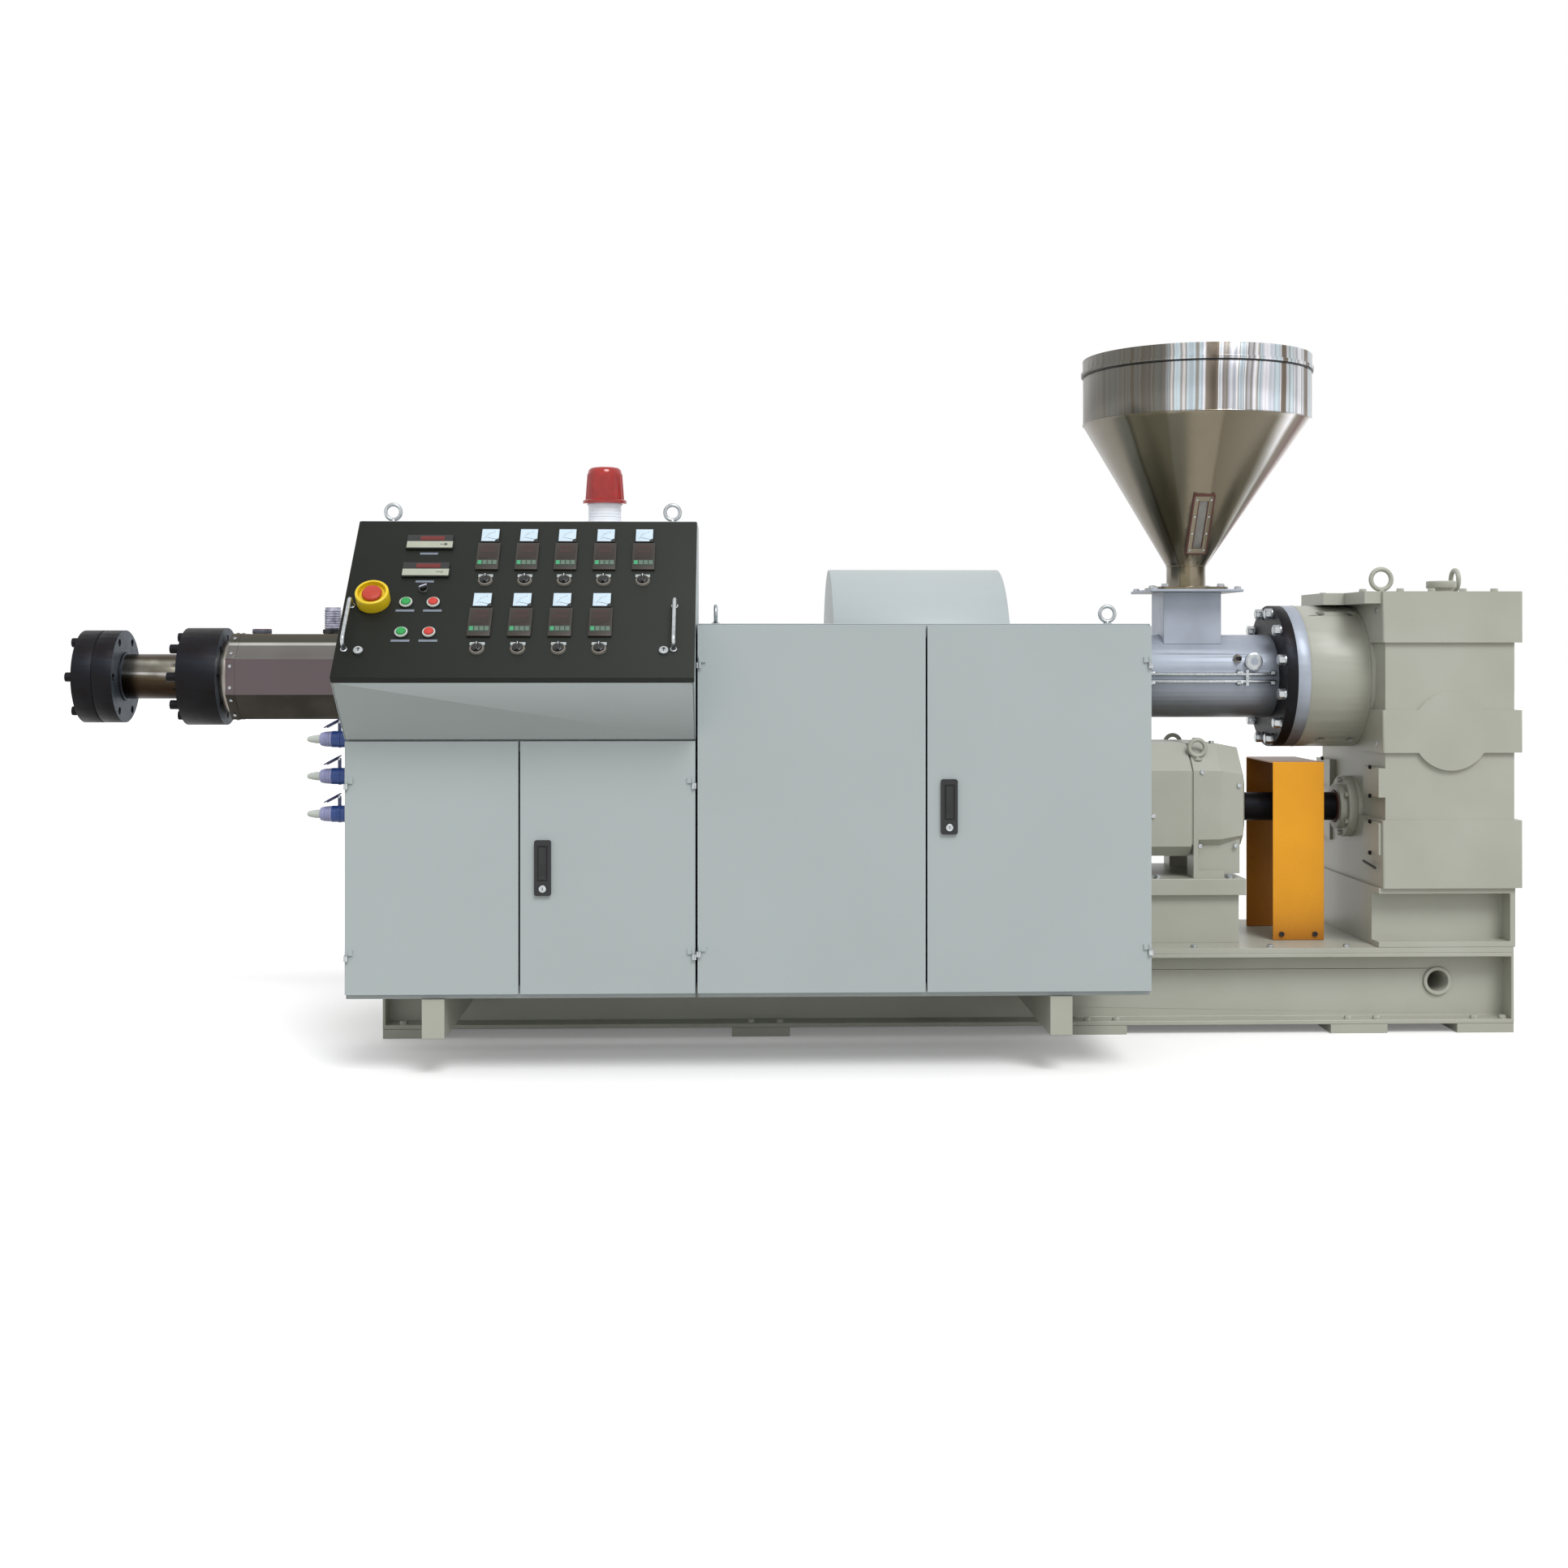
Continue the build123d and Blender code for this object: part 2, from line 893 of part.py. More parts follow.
instrument_rows = [upper_row_columns, lower_row_columns]
ammeters = []
controllers = []
selectors = []
for row, columns in enumerate(instrument_rows):
    for column in range(columns):
        x = column_first_x + column * column_pitch
        frame_box = Box(ammeter_size, ammeter_size, ammeter_height)
        frame_box = chamfer(frame_box.faces().sort_by(Axis.Z)[-1].edges(), case_edge)
        ammeters.append(on_panel(x, ammeter_rows[row], ammeter_height / 2) * frame_box)
        case = Box(controller_width, controller_length, controller_height)
        case = chamfer(case.faces().sort_by(Axis.Z)[-1].edges(), case_edge)
        controllers.append(on_panel(x, controller_rows[row], controller_height / 2) * case)
        bezel = Pos(0, 0, selector_height / 2) * Cylinder(selector_radius, selector_height)
        grip = Box(selector_grip_width, 1.5 * selector_radius, selector_knob_height)
        grip = Pos(0, 0, selector_knob_height / 2) * grip
        selectors.append(on_panel(x, selector_rows[row], 0) * (bezel + grip))
keep("ammeters", *ammeters)
keep("temperature_controllers", *controllers)

small_knob = Cone(small_knob_radius, small_knob_radius - small_knob_taper, selector_knob_height)
selectors.append(on_panel(meter_x, small_knob_row, selector_knob_height / 2) * small_knob)
keep("selector_switches", *selectors)

meters = []
for row in meter_rows:
    case = Box(meter_width, meter_length, meter_height)
    case = chamfer(case.faces().sort_by(Axis.Z)[-1].edges(), 2.0)
    meters.append(on_panel(meter_x, row, meter_height / 2) * case)
keep("digital_meters", *meters)

buttons = []
for x in button_columns:
    for row in button_rows:
        ring = Pos(0, 0, button_height / 2) * Cylinder(button_ring_radius, button_height)
        cap = Pos(0, 0, button_cap_height / 2) * Cylinder(button_cap_radius, button_cap_height)
        buttons.append(on_panel(x, row, 0) * (ring + cap))
keep("push_buttons", *buttons)

stop_box = Pos(0, 0, stop_box_height / 2) * Cylinder(stop_box_radius, stop_box_height)
stop_stem = Pos(0, 0, stop_head_height / 2) * Cylinder(stop_stem_radius, stop_head_height)
stop_head = Cylinder(stop_head_radius, stop_head_thickness)
stop_head = Pos(0, 0, stop_head_height - stop_head_thickness / 2) * stop_head
stop_head = fillet(stop_head.faces().sort_by(Axis.Z)[-1].edges(), stop_head_edge)
keep("emergency_stop", on_panel(stop_x, stop_row, 0) * (stop_stem + stop_box + stop_head))

panel_handles = []
for x in panel_handle_columns:
    half = panel_handle_length / 2 - panel_handle_radius
    path = FilletPolyline(
        (0, -half, 0),
        (0, -half, panel_handle_height - panel_handle_radius),
        (0, half, panel_handle_height - panel_handle_radius),
        (0, half, 0),
        radius=panel_handle_bend,
    )
    section = Plane(origin=(0, -half, 0), z_dir=(0, 0, 1)) * Circle(panel_handle_radius)
    panel_handles.append(on_panel(x, panel_handle_row, 0) * sweep(section, path=path))
for x in panel_lock_columns:
    screw = Cylinder(panel_lock_radius, panel_lock_height)
    panel_handles.append(on_panel(x, panel_lock_row, panel_lock_height / 2) * screw)
keep("panel_handles", *panel_handles)


# Beacon and lifting eyes
def eye_bolt(x, y, z, ring, wire, collar, turned):
    """A lifting eye standing on a face at height z."""
    loop = Rot(90, 0, 90 if turned else 0) * Torus(ring, wire)
    body = Pos(0, 0, ring + 2 * wire) * loop
    foot = Pos(0, 0, wire / 2) * Cylinder(collar, wire)
    stem = Pos(0, 0, wire) * Cylinder(wire, 2 * wire)
    return Pos(x, y, z) * (stem + body + foot)


keep(
    "beacon_base",
    round_z(panel_top_z, panel_top_z + beacon_base_height, beacon_x, beacon_y, beacon_base_radius),
)
lens_bottom_z = panel_top_z + beacon_base_height
lens = Pos(beacon_x, beacon_y, lens_bottom_z) * (
    Pos(0, 0, beacon_rim_height / 2) * Cylinder(beacon_rim_radius, beacon_rim_height)
)
dome_height = beacon_top_z - lens_bottom_z
dome = Pos(beacon_x, beacon_y, lens_bottom_z + dome_height / 2) * Cone(
    beacon_lens_radius, beacon_lens_top_radius, dome_height
)
dome = fillet(dome.faces().sort_by(Axis.Z)[-1].edges(), beacon_edge)
keep("beacon_lens", lens + dome)

cabinet_eyes = []
for x in console_eye_columns:
    cabinet_eyes.append(
        eye_bolt(x, eye_y, panel_top_z, eye_ring_radius, eye_wire_radius, eye_collar_radius, False)
    )
for x in cabinet_eye_columns:
    turned = x == cabinet_eye_columns[0]
    cabinet_eyes.append(
        eye_bolt(x, eye_y, cabinet_top_z, eye_ring_radius, eye_wire_radius, eye_collar_radius, turned)
    )
keep("cabinet_eye_bolts", *cabinet_eyes)

# Plugs in their sockets on the console's left side, each under a tilted lid
sockets = []
neck_end = console_left_x - socket_neck_length
lid_middle_x = console_left_x - socket_lid_offset
link_x = lid_middle_x + socket_lid_length * cos(radians(socket_lid_turn)) / 2 - socket_link_width
for z in socket_heights:
    socket = round_x(neck_end, console_left_x, socket_y, z, socket_radius)
    socket += block(
        console_left_x - socket_plate_thickness,
        console_left_x,
        socket_y - socket_plate / 2,
        socket_y + socket_plate / 2,
        z - socket_plate / 2,
        z + socket_plate / 2,
    )
    socket += round_x(neck_end - plug_body_length, neck_end, socket_y, z, plug_radius)
    tip = Rot(0, -90, 0) * Cone(plug_radius, plug_tip_radius, plug_tip_length)
    socket += Pos(neck_end - plug_body_length - plug_tip_length / 2, socket_y, z) * tip
    socket += block(
        link_x,
        link_x + socket_link_width,
        socket_y - socket_link_width / 2,
        socket_y + socket_link_width / 2,
        z,
        z + socket_lid_rise + socket_lid_length * sin(radians(socket_lid_turn)) / 3,
    )
    cover = Box(socket_lid_length, socket_lid_width, socket_lid_thickness)
    socket += Pos(lid_middle_x, socket_y, z + socket_lid_rise) * Rot(0, -socket_lid_turn, 0) * cover
    sockets.append(socket)
keep("plug_sockets", *sockets)


# Melt outlet and barrel
def bolt_ring(x0, x1, circle, count, radius, start=0.0):
    """Round bars along X, set evenly on a circle about the barrel's axis."""
    bars = []
    for index in range(count):
        turn = radians(start + 360.0 * index / count)
        y = circle / 2 * cos(turn)
        z = barrel_axis_z + circle / 2 * sin(turn)
        bars.append(round_x(x0, x1, y, z, radius))
    return bars


outlet_seam_x = outlet_flange_left_x + outlet_flange_thickness
outlet_flange_right_x = outlet_seam_x + outlet_flange_thickness
outlet_flanges = round_x(
    outlet_flange_left_x,
    outlet_flange_right_x,
    0,
    barrel_axis_z,
    outlet_flange_radius,
)
seam_low = outlet_seam_x - outlet_seam_width / 2
seam_high = outlet_seam_x + outlet_seam_width / 2
seam = round_x(seam_low, seam_high, 0, barrel_axis_z, outlet_flange_radius)
seam -= round_x(seam_low, seam_high, 0, barrel_axis_z, outlet_flange_radius - outlet_seam_depth)
outlet_flanges -= seam
for screw in bolt_ring(
    outlet_flange_left_x - outlet_bolt_head,
    outlet_flange_left_x + seat_depth,
    outlet_bolt_circle,
    outlet_bolt_count,
    outlet_bolt_radius,
):
    outlet_flanges += screw
for hole in bolt_ring(
    outlet_flange_right_x - outlet_hole_depth,
    outlet_flange_right_x,
    outlet_bolt_circle,
    outlet_bolt_count,
    outlet_hole_radius,
):
    outlet_flanges -= hole
outlet_flanges -= round_x(
    outlet_flange_left_x,
    outlet_flange_right_x,
    0,
    barrel_axis_z,
    outlet_bore_radius,
)
keep("outlet_flanges", outlet_flanges)

adapter = round_x(outlet_flange_right_x, adapter_pipe_right_x, 0, barrel_axis_z, adapter_pipe_radius)
adapter -= round_x(outlet_flange_right_x, adapter_pipe_right_x, 0, barrel_axis_z, outlet_bore_radius)
keep("adapter_pipe", adapter)

head_flange = round_x(adapter_pipe_right_x, head_flange_right_x, 0, barrel_axis_z, head_flange_radius)
for screw in bolt_ring(
    adapter_pipe_right_x - head_bolt_length,
    adapter_pipe_right_x + seat_depth,
    head_bolt_circle,
    head_bolt_count,
    head_bolt_radius,
):
    head_flange += screw
for hole in bolt_ring(
    head_flange_right_x - head_hole_depth,
    head_flange_right_x,
    head_bolt_circle,
    head_bolt_count,
    head_hole_radius,
):
    head_flange -= hole
keep("barrel_head_flange", head_flange)

core = round_x(head_flange_right_x, cover_right_x, 0, barrel_axis_z, barrel_core_radius)
core += round_x(head_flange_right_x, cover_left_x, 0, barrel_axis_z, collar_radius)
keep("barrel_core", core)

cover_turn = 180.0 / cover_sides


def cover_shape(clearance):
    """The folded cover's outline, across the barrel."""
    outline = RegularPolygon(cover_across_flats / 2 + clearance, cover_sides, major_radius=False)
    return Plane.YZ * (Pos(0, barrel_axis_z) * Rot(0, 0, cover_turn) * outline)


cover = Pos(cover_left_x, 0, 0) * extrude(cover_shape(0), amount=cover_right_x - cover_left_x)
cover -= round_x(cover_left_x, cover_right_x, 0, barrel_axis_z, barrel_core_radius)
cover_top_z = barrel_axis_z + cover_across_flats / 2
cover += round_z(
    cover_top_z - seat_depth,
    cover_top_z + cover_knob_height,
    cover_knob_x,
    0,
    cover_knob_radius,
)
keep("heater_cover", cover)

# The end of a flexible conduit, with its union nut, on the heater cover
conduit = round_z(cover_top_z, cover_top_z + conduit_height, conduit_x, 0, conduit_radius)
conduit = fillet(conduit.faces().sort_by(Axis.Z)[-1].edges(), conduit_radius / 3)
conduit += round_z(cover_top_z, cover_top_z + conduit_nut_height, conduit_x, 0, conduit_nut_radius)
keep("cable_conduit", conduit)

hood_outer = round_x(hood_left_x, hood_right_x, 0, barrel_axis_z, hood_radius)
hood_outer += block(hood_left_x, hood_right_x, -hood_radius, hood_radius, hood_bottom_z, barrel_axis_z)
hood_outer -= block(
    hood_left_x,
    hood_right_x,
    -hood_radius,
    hood_radius,
    barrel_axis_z - hood_radius - 1,
    hood_bottom_z,
)
hood_inner = round_x(
    hood_left_x + hood_sheet,
    hood_right_x - hood_sheet,
    0,
    barrel_axis_z,
    hood_radius - hood_sheet,
)
hood_inner += block(
    hood_left_x + hood_sheet,
    hood_right_x - hood_sheet,
    -hood_radius + hood_sheet,
    hood_radius - hood_sheet,
    barrel_axis_z - hood_radius,
    barrel_axis_z,
)
hood = hood_outer - hood_inner
slot_half = cover_across_flats / 2 + seat_gap
slot = block(hood_left_x, hood_right_x, -slot_half, slot_half, hood_bottom_z, barrel_axis_z)
slot_top = Pos(hood_left_x, 0, 0) * extrude(cover_shape(seat_gap), amount=hood_right_x - hood_left_x)
keep("barrel_hood", hood - slot - slot_top)

supports = []
cover_bottom_z = barrel_axis_z - cover_across_flats / 2
for x in (base_left_x + support_left_inset, pedestal_left_x - support_to_pedestal):
    foot = block(
        x,
        x + support_length,
        -support_foot_width / 2,
        support_foot_width / 2,
        deck_top_z,
        deck_top_z + support_plate,
    )
    web = block(
        x + support_length / 2 - support_plate / 2,
        x + support_length / 2 + support_plate / 2,
        -support_web_width / 2,
        support_web_width / 2,
        deck_top_z,
        cover_bottom_z - support_plate,
    )
    rib = block(x, x + support_length, -support_plate / 2, support_plate / 2, deck_top_z, cover_bottom_z)
    top = block(
        x,
        x + support_length,
        -support_top_width / 2,
        support_top_width / 2,
        cover_bottom_z - seat_gap - support_plate,
        cover_bottom_z,
    )
    supports.append(rib + foot + web + top)
keep("barrel_supports", *supports)

feed = round_x(cover_right_x, feed_barrel_right_x, 0, barrel_axis_z, feed_barrel_radius)
boss_y = -sqrt(feed_barrel_radius**2 - (feed_boss_z - barrel_axis_z) ** 2)
feed += round_y(boss_y - feed_boss_height, 0, feed_boss_x, feed_boss_z, feed_boss_radius)
throat_hole = block(
    throat_centre_x - throat_opening / 2,
    throat_centre_x + throat_opening / 2,
    -throat_opening / 2,
    throat_opening / 2,
    barrel_axis_z,
    barrel_axis_z + feed_barrel_radius,
)
keep("feed_barrel", feed - throat_hole)

pipes = []
pipe_y = -feed_barrel_radius - coolant_pipe_radius
for z in coolant_pipe_heights:
    pipes.append(
        round_x(cover_right_x, coolant_pipe_right_x, pipe_y, z, coolant_pipe_radius)
    )
clamp = block(
    coolant_clamp_x - coolant_clamp_width / 2,
    coolant_clamp_x + coolant_clamp_width / 2,
    pipe_y - coolant_pipe_radius - coolant_clamp_proud,
    -feed_barrel_radius,
    coolant_pipe_heights[1] - coolant_clamp_reach,
    coolant_pipe_heights[0] + coolant_clamp_reach,
)
keep("coolant_pipes", clamp + pipes[0] + pipes[1])

# Throat and hopper
throat_top_z = barrel_axis_z + feed_barrel_radius + throat_height
throat = block(
    throat_centre_x - throat_length / 2,
    throat_centre_x + throat_length / 2,
    -throat_depth / 2,
    throat_depth / 2,
    barrel_axis_z,
    throat_top_z,
)
throat -= round_x(
    throat_centre_x - throat_length,
    throat_centre_x + throat_length,
    0,
    barrel_axis_z,
    feed_barrel_radius,
)
throat += block(
    throat_centre_x - throat_flange / 2,
    throat_centre_x + throat_flange / 2,
    -throat_flange / 2,
    throat_flange / 2,
    throat_top_z,
    throat_top_z + throat_flange_thickness,
)
hopper_foot_z = throat_top_z + throat_flange_thickness
throat -= block(
    throat_centre_x - throat_opening / 2,
    throat_centre_x + throat_opening / 2,
    -throat_opening / 2,
    throat_opening / 2,
    barrel_axis_z,
    hopper_foot_z,
)
keep("feed_throat", throat)
neck_bottom_z = hopper_foot_z + hopper_flange_thickness
neck_top_z = neck_bottom_z + hopper_neck_height
hopper_cone_top_z = neck_top_z + hopper_cone_height
hopper_top_z = hopper_cone_top_z + hopper_drum_height
lid_top_z = hopper_top_z + lid_height


def hopper_ring(z, radius, offset):
    return Pos(throat_centre_x + offset, 0, z) * Circle(radius)


def hopper_form(inset):
    """The neck, the leaning cone and the drum, all drawn in by the wall."""
    neck = round_z(neck_bottom_z, neck_top_z, throat_centre_x, 0, hopper_neck_radius - inset)
    low = Plane.XY * hopper_ring(neck_top_z, hopper_neck_radius - inset, 0)
    high = Plane.XY * hopper_ring(hopper_cone_top_z, hopper_radius - inset, hopper_offset_x)
    cone = loft([low, high], ruled=True)
    drum = round_z(
        hopper_cone_top_z,
        hopper_top_z,
        throat_centre_x + hopper_offset_x,
        0,
        hopper_radius - inset,
    )
    return neck + cone + drum


hopper_foot = block(
    throat_centre_x - hopper_flange_length / 2,
    throat_centre_x + hopper_flange_length / 2,
    -hopper_flange_length / 2,
    hopper_flange_length / 2,
    hopper_foot_z,
    neck_bottom_z,
)
hopper_foot = fillet(hopper_foot.edges().filter_by(Axis.Z), hopper_foot_corner)
hopper_foot -= round_z(hopper_foot_z, neck_bottom_z, throat_centre_x, 0, hopper_neck_radius - hopper_sheet)

# The sight window's frame lies on the front of the cone, along its slope
cone_spread = hopper_radius - hopper_neck_radius
cone_share = sight_height / hopper_cone_height
cone_slope = hypot(hopper_cone_height, cone_spread)
sight_plane = Plane(
    origin=(
        throat_centre_x + hopper_offset_x * cone_share,
        -hopper_neck_radius - cone_spread * cone_share,
        neck_top_z + sight_height,
    ),
    x_dir=(1, 0, 0),
    z_dir=(0, -hopper_cone_height / cone_slope, -cone_spread / cone_slope),
)
sight_depth = 2 * sight_frame_proud
sight_frame = Box(sight_frame_width, sight_frame_length, sight_depth)
sight_pane = Pos(0, 0, sight_frame_proud) * Box(sight_pane_width, sight_pane_length, sight_frame_proud)
hopper_outside = hopper_form(0) + sight_plane * (sight_frame - sight_pane)
keep("feed_hopper", hopper_outside - hopper_form(hopper_sheet) + hopper_foot)

lid_x = throat_centre_x + hopper_offset_x
lid_low_z = hopper_top_z - lid_rim_height
lid_outer = round_z(lid_low_z, lid_low_z + lid_bead_height, lid_x, 0, hopper_radius + lid_overhang)
lid_outer += round_z(lid_low_z, lid_top_z, lid_x, 0, hopper_radius + lid_wall_proud)
lid_inner = round_z(lid_low_z, hopper_top_z, lid_x, 0, hopper_radius + seat_gap)
lid_inner += round_z(hopper_top_z, lid_top_z - hopper_sheet, lid_x, 0, hopper_radius - hopper_sheet)
keep("hopper_lid", lid_outer - lid_inner)

# Rear flange, ring and distribution housing
rear_flange = round_x(feed_barrel_right_x, rear_flange_right_x, 0, barrel_axis_z, rear_flange_radius)
for screw in bolt_ring(
    feed_barrel_right_x - rear_bolt_length,
    feed_barrel_right_x + seat_depth,
    rear_bolt_circle,
    rear_bolt_count,
    rear_bolt_radius,
    180.0 / rear_bolt_count,
):
    rear_flange += screw
keep("barrel_rear_flange", rear_flange)
keep("locating_ring", round_x(rear_flange_right_x, ring_right_x, 0, barrel_axis_z, housing_radius))
housing = round_x(ring_right_x, housing_right_x, 0, barrel_axis_z, housing_radius)
for x in pocket_places:
    for turn in (pocket_angle, -pocket_angle, 180.0 - pocket_angle, 180.0 + pocket_angle):
        reach = housing_radius - pocket_depth / 2
        place = Pos(x, reach * cos(radians(turn)), barrel_axis_z + reach * sin(radians(turn)))
        pocket = Rot(turn - 90.0, 0, 0) * Cylinder(pocket_radius, 2 * pocket_depth)
        housing -= place * pocket
keep("distribution_housing", housing)

# Gearbox on its riser: a plain body with raised bands, and round seats for
# the distribution housing and the input shaft's cap on its left face
gearbox = block(
    housing_right_x + band_proud,
    gearbox_right_x,
    -gearbox_half_depth,
    gearbox_half_depth,
    gearbox_bottom_z,
    gearbox_top_z,
)
middle_band_low_z = boss_z - middle_band_height / 2
band_heights = [
    [gearbox_bottom_z, gearbox_bottom_z + low_band_height],
    [middle_band_low_z, middle_band_low_z + middle_band_height],
    [gearbox_top_z - top_band_height, gearbox_top_z],
]
for low, high in band_heights:
    band = block(
        housing_right_x,
        gearbox_right_x + band_right_proud,
        -gearbox_half_depth - band_proud,
        gearbox_half_depth + band_proud,
        low,
        high,
    )
    gearbox += fillet(band.edges().filter_by(Axis.Z), gearbox_edge)
for sign in (-1, 1):
    face = sign * (gearbox_half_depth + band_proud)
    gearbox += round_y(min(0, face), max(0, face), boss_x, boss_z, boss_radius)
body_left_x = housing_right_x + band_proud
gearbox += round_x(housing_right_x, body_left_x, 0, barrel_axis_z, housing_radius)
gearbox += round_x(housing_right_x, body_left_x, 0, shaft_axis_z, input_cap_radius)
plate_bottom_z = gearbox_top_z - top_plate_thickness
gearbox += block(
    top_plate_left_x,
    body_left_x,
    -gearbox_half_depth,
    gearbox_half_depth,
    plate_bottom_z,
    gearbox_top_z,
)
gearbox += block(
    top_pad_left_x,
    top_plate_left_x,
    -top_pad_half_depth,
    top_pad_half_depth,
    plate_bottom_z,
    gearbox_top_z,
)
for low, high in side_pad_heights:
    for sign in (-1, 1):
        near = sign * side_pad_inner_y
        far = sign * gearbox_half_depth
        gearbox += block(
            housing_right_x - side_pad_proud,
            body_left_x,
            min(near, far),
            max(near, far),
            low,
            high,
        )
keep("gearbox_housing", gearbox)

riser = block(
    riser_left_x,
    riser_right_x,
    -base_half_width,
    base_half_width,
    deck_top_z,
    gearbox_bottom_z,
)
for sign in (-1, 1):
    outer = sign * base_half_width
    inner = sign * (base_half_width - riser_web_depth)
    riser -= block(
        riser_left_x,
        riser_right_x - riser_plate,
        min(outer, inner),
        max(outer, inner),
        deck_top_z + riser_plate,
        gearbox_bottom_z - riser_plate,
    )
keep("gearbox_riser", riser)

filler_seat_z = gearbox_top_z + filler_neck_height
filler = round_z(gearbox_top_z, filler_seat_z, filler_x, 0, filler_neck_radius)
filler_lid = round_z(filler_seat_z, filler_seat_z + filler_lid_height, filler_x, 0, filler_lid_radius)
filler += chamfer(filler_lid.faces().sort_by(Axis.Z)[0].edges(), filler_lid_height / 3)
gearbox_eyes = []
for x, y in gearbox_eye_places:
    gearbox_eyes.append(
        eye_bolt(
            x,
            y,
            gearbox_top_z,
            gearbox_eye_radius,
            gearbox_eye_wire,
            gearbox_eye_collar,
            y != gearbox_eye_places[0][1],
        )
    )
keep("gearbox_fittings", filler, *gearbox_eyes)

shaft_opening_radius = coupling_radius + shaft_clearance
input_cap = round_x(input_cap_left_x, housing_right_x, 0, shaft_axis_z, input_cap_radius)
input_cap += round_x(input_hub_left_x, housing_right_x, 0, shaft_axis_z, input_hub_radius)
input_cap -= round_x(input_hub_left_x, housing_right_x, 0, shaft_axis_z, shaft_opening_radius)
keep("input_bearing_cap", input_cap)

# Drive motor: a square stator with bevelled corners between two end bells,
# which stand on feet, and a round fan cowl at the hidden end
def motor_outline(bottom, inset):
    """The motor's outline, drawn in on every side."""
    half = motor_half_width - inset
    top = motor_top_z - inset
    low = bottom + inset
    return [
        (-half + motor_lower_bevel, low),
        (-half, low + motor_lower_bevel),
        (-half, top - motor_bevel_height),
        (-half + motor_bevel_width, top),
        (half - motor_bevel_width, top),
        (half, top - motor_bevel_height),
        (half, low + motor_lower_bevel),
        (half - motor_lower_bevel, low),
    ]


def end_bell(inner_x, toward):
    """An end bell that narrows in steps towards the motor's end."""
    sections = []
    for distance, inset in bell_steps:
        outline = make_face(Polyline(*motor_outline(bell_bottom_z, inset), close=True))
        sections.append(Plane.YZ.offset(inner_x + toward * distance) * outline)
    return loft(sections, ruled=True)


bell_right_x = motor_right_x - bell_length
bell_left_x = motor_left_x + cowl_length + bell_length
motor = along_x(motor_outline(stator_bottom_z, 0), bell_left_x, bell_right_x)
for x in (bell_left_x, bell_right_x - motor_seam_width):
    groove = along_x(motor_outline(stator_bottom_z, -motor_seam_depth), x, x + motor_seam_width)
    groove -= along_x(motor_outline(stator_bottom_z, motor_seam_depth), x, x + motor_seam_width)
    motor -= groove
motor += end_bell(bell_right_x, 1)
motor += end_bell(bell_left_x, -1)
motor += round_x(motor_left_x, bell_left_x - bell_length, 0, shaft_axis_z, cowl_radius)
motor += round_x(bell_right_x, motor_right_x + motor_seam_width, 0, shaft_axis_z, cowl_hub_radius)
for inner_x, toward in ((bell_right_x, 1), (bell_left_x, -1)):
    rib_x = inner_x + toward * motor_rib
    foot_x = inner_x + toward * motor_foot_length
    block_x = inner_x + toward * (bell_length - motor_foot_inset)
    for sign in (-1, 1):
        outer = sign * motor_half_width
        set_back = sign * (motor_half_width - motor_foot_inset)
        inner = sign * (motor_half_width - motor_foot_width)
        motor += block(
            min(inner_x, foot_x),
            max(inner_x, foot_x),
            min(outer, inner),
            max(outer, inner),
            motor_foot_z,
            motor_foot_z + motor_foot_height,
        )
        motor += block(
            min(inner_x, block_x),
            max(inner_x, block_x),
            min(set_back, inner),
            max(set_back, inner),
            motor_foot_z + motor_foot_height / 2,
            bell_bottom_z + motor_lower_bevel,
        )
        motor += block(
            min(inner_x, rib_x),
            max(inner_x, rib_x),
            min(outer, inner),
            max(outer, inner),
            motor_foot_z,
            bell_bottom_z + motor_lower_bevel,
        )
for sign in (-1, 1):
    motor += eye_bolt(
        bell_right_x + motor_eye_inset,
        sign * motor_eye_y,
        motor_eye_z,
        motor_eye_radius,
        motor_eye_wire,
        motor_eye_collar,
        True,
    )
keep("drive_motor", motor)

pedestal = block(
    pedestal_left_x,
    pedestal_right_x,
    -pedestal_half_width + pedestal_overhang,
    pedestal_half_width - pedestal_overhang,
    deck_top_z,
    motor_foot_z - pedestal_plate,
)
pedestal += block(
    pedestal_left_x - pedestal_end_overhang,
    pedestal_right_x + pedestal_end_overhang,
    -pedestal_half_width,
    pedestal_half_width,
    motor_foot_z - pedestal_plate,
    motor_foot_z,
)
keep("motor_pedestal", pedestal)

coupling = round_x(
    motor_right_x + motor_seam_width + seat_gap,
    housing_right_x - seat_gap,
    0,
    shaft_axis_z,
    drive_shaft_radius,
)
coupling += round_x(
    coupling_left_x,
    input_hub_left_x - shaft_clearance,
    0,
    shaft_axis_z,
    coupling_radius,
)
keep("shaft_coupling", coupling)

guard = block(
    guard_left_x,
    guard_left_x + guard_length,
    -guard_half_depth,
    guard_half_depth,
    deck_top_z,
    guard_top_z,
)
guard -= block(
    guard_left_x,
    guard_left_x + guard_length,
    -guard_half_depth + guard_sheet,
    guard_half_depth - guard_sheet,
    deck_top_z,
    guard_top_z - guard_sheet,
)
keep("coupling_guard", guard)

# The finished machine stands centred on the origin
low_x = min(solid.bounding_box().min.X for solids in nodes.values() for solid in solids)
high_x = max(solid.bounding_box().max.X for solids in nodes.values() for solid in solids)
low_y = min(solid.bounding_box().min.Y for solids in nodes.values() for solid in solids)
high_y = max(solid.bounding_box().max.Y for solids in nodes.values() for solid in solids)
to_origin = Pos(-(low_x + high_x) / 2, -(low_y + high_y) / 2, 0)

for name, solids in nodes.items():
    placed = [to_origin * solid for solid in solids]
    shape = placed[0] if len(placed) == 1 else Compound(children=placed)
    export_step(shape, f"parts/{name}.step")

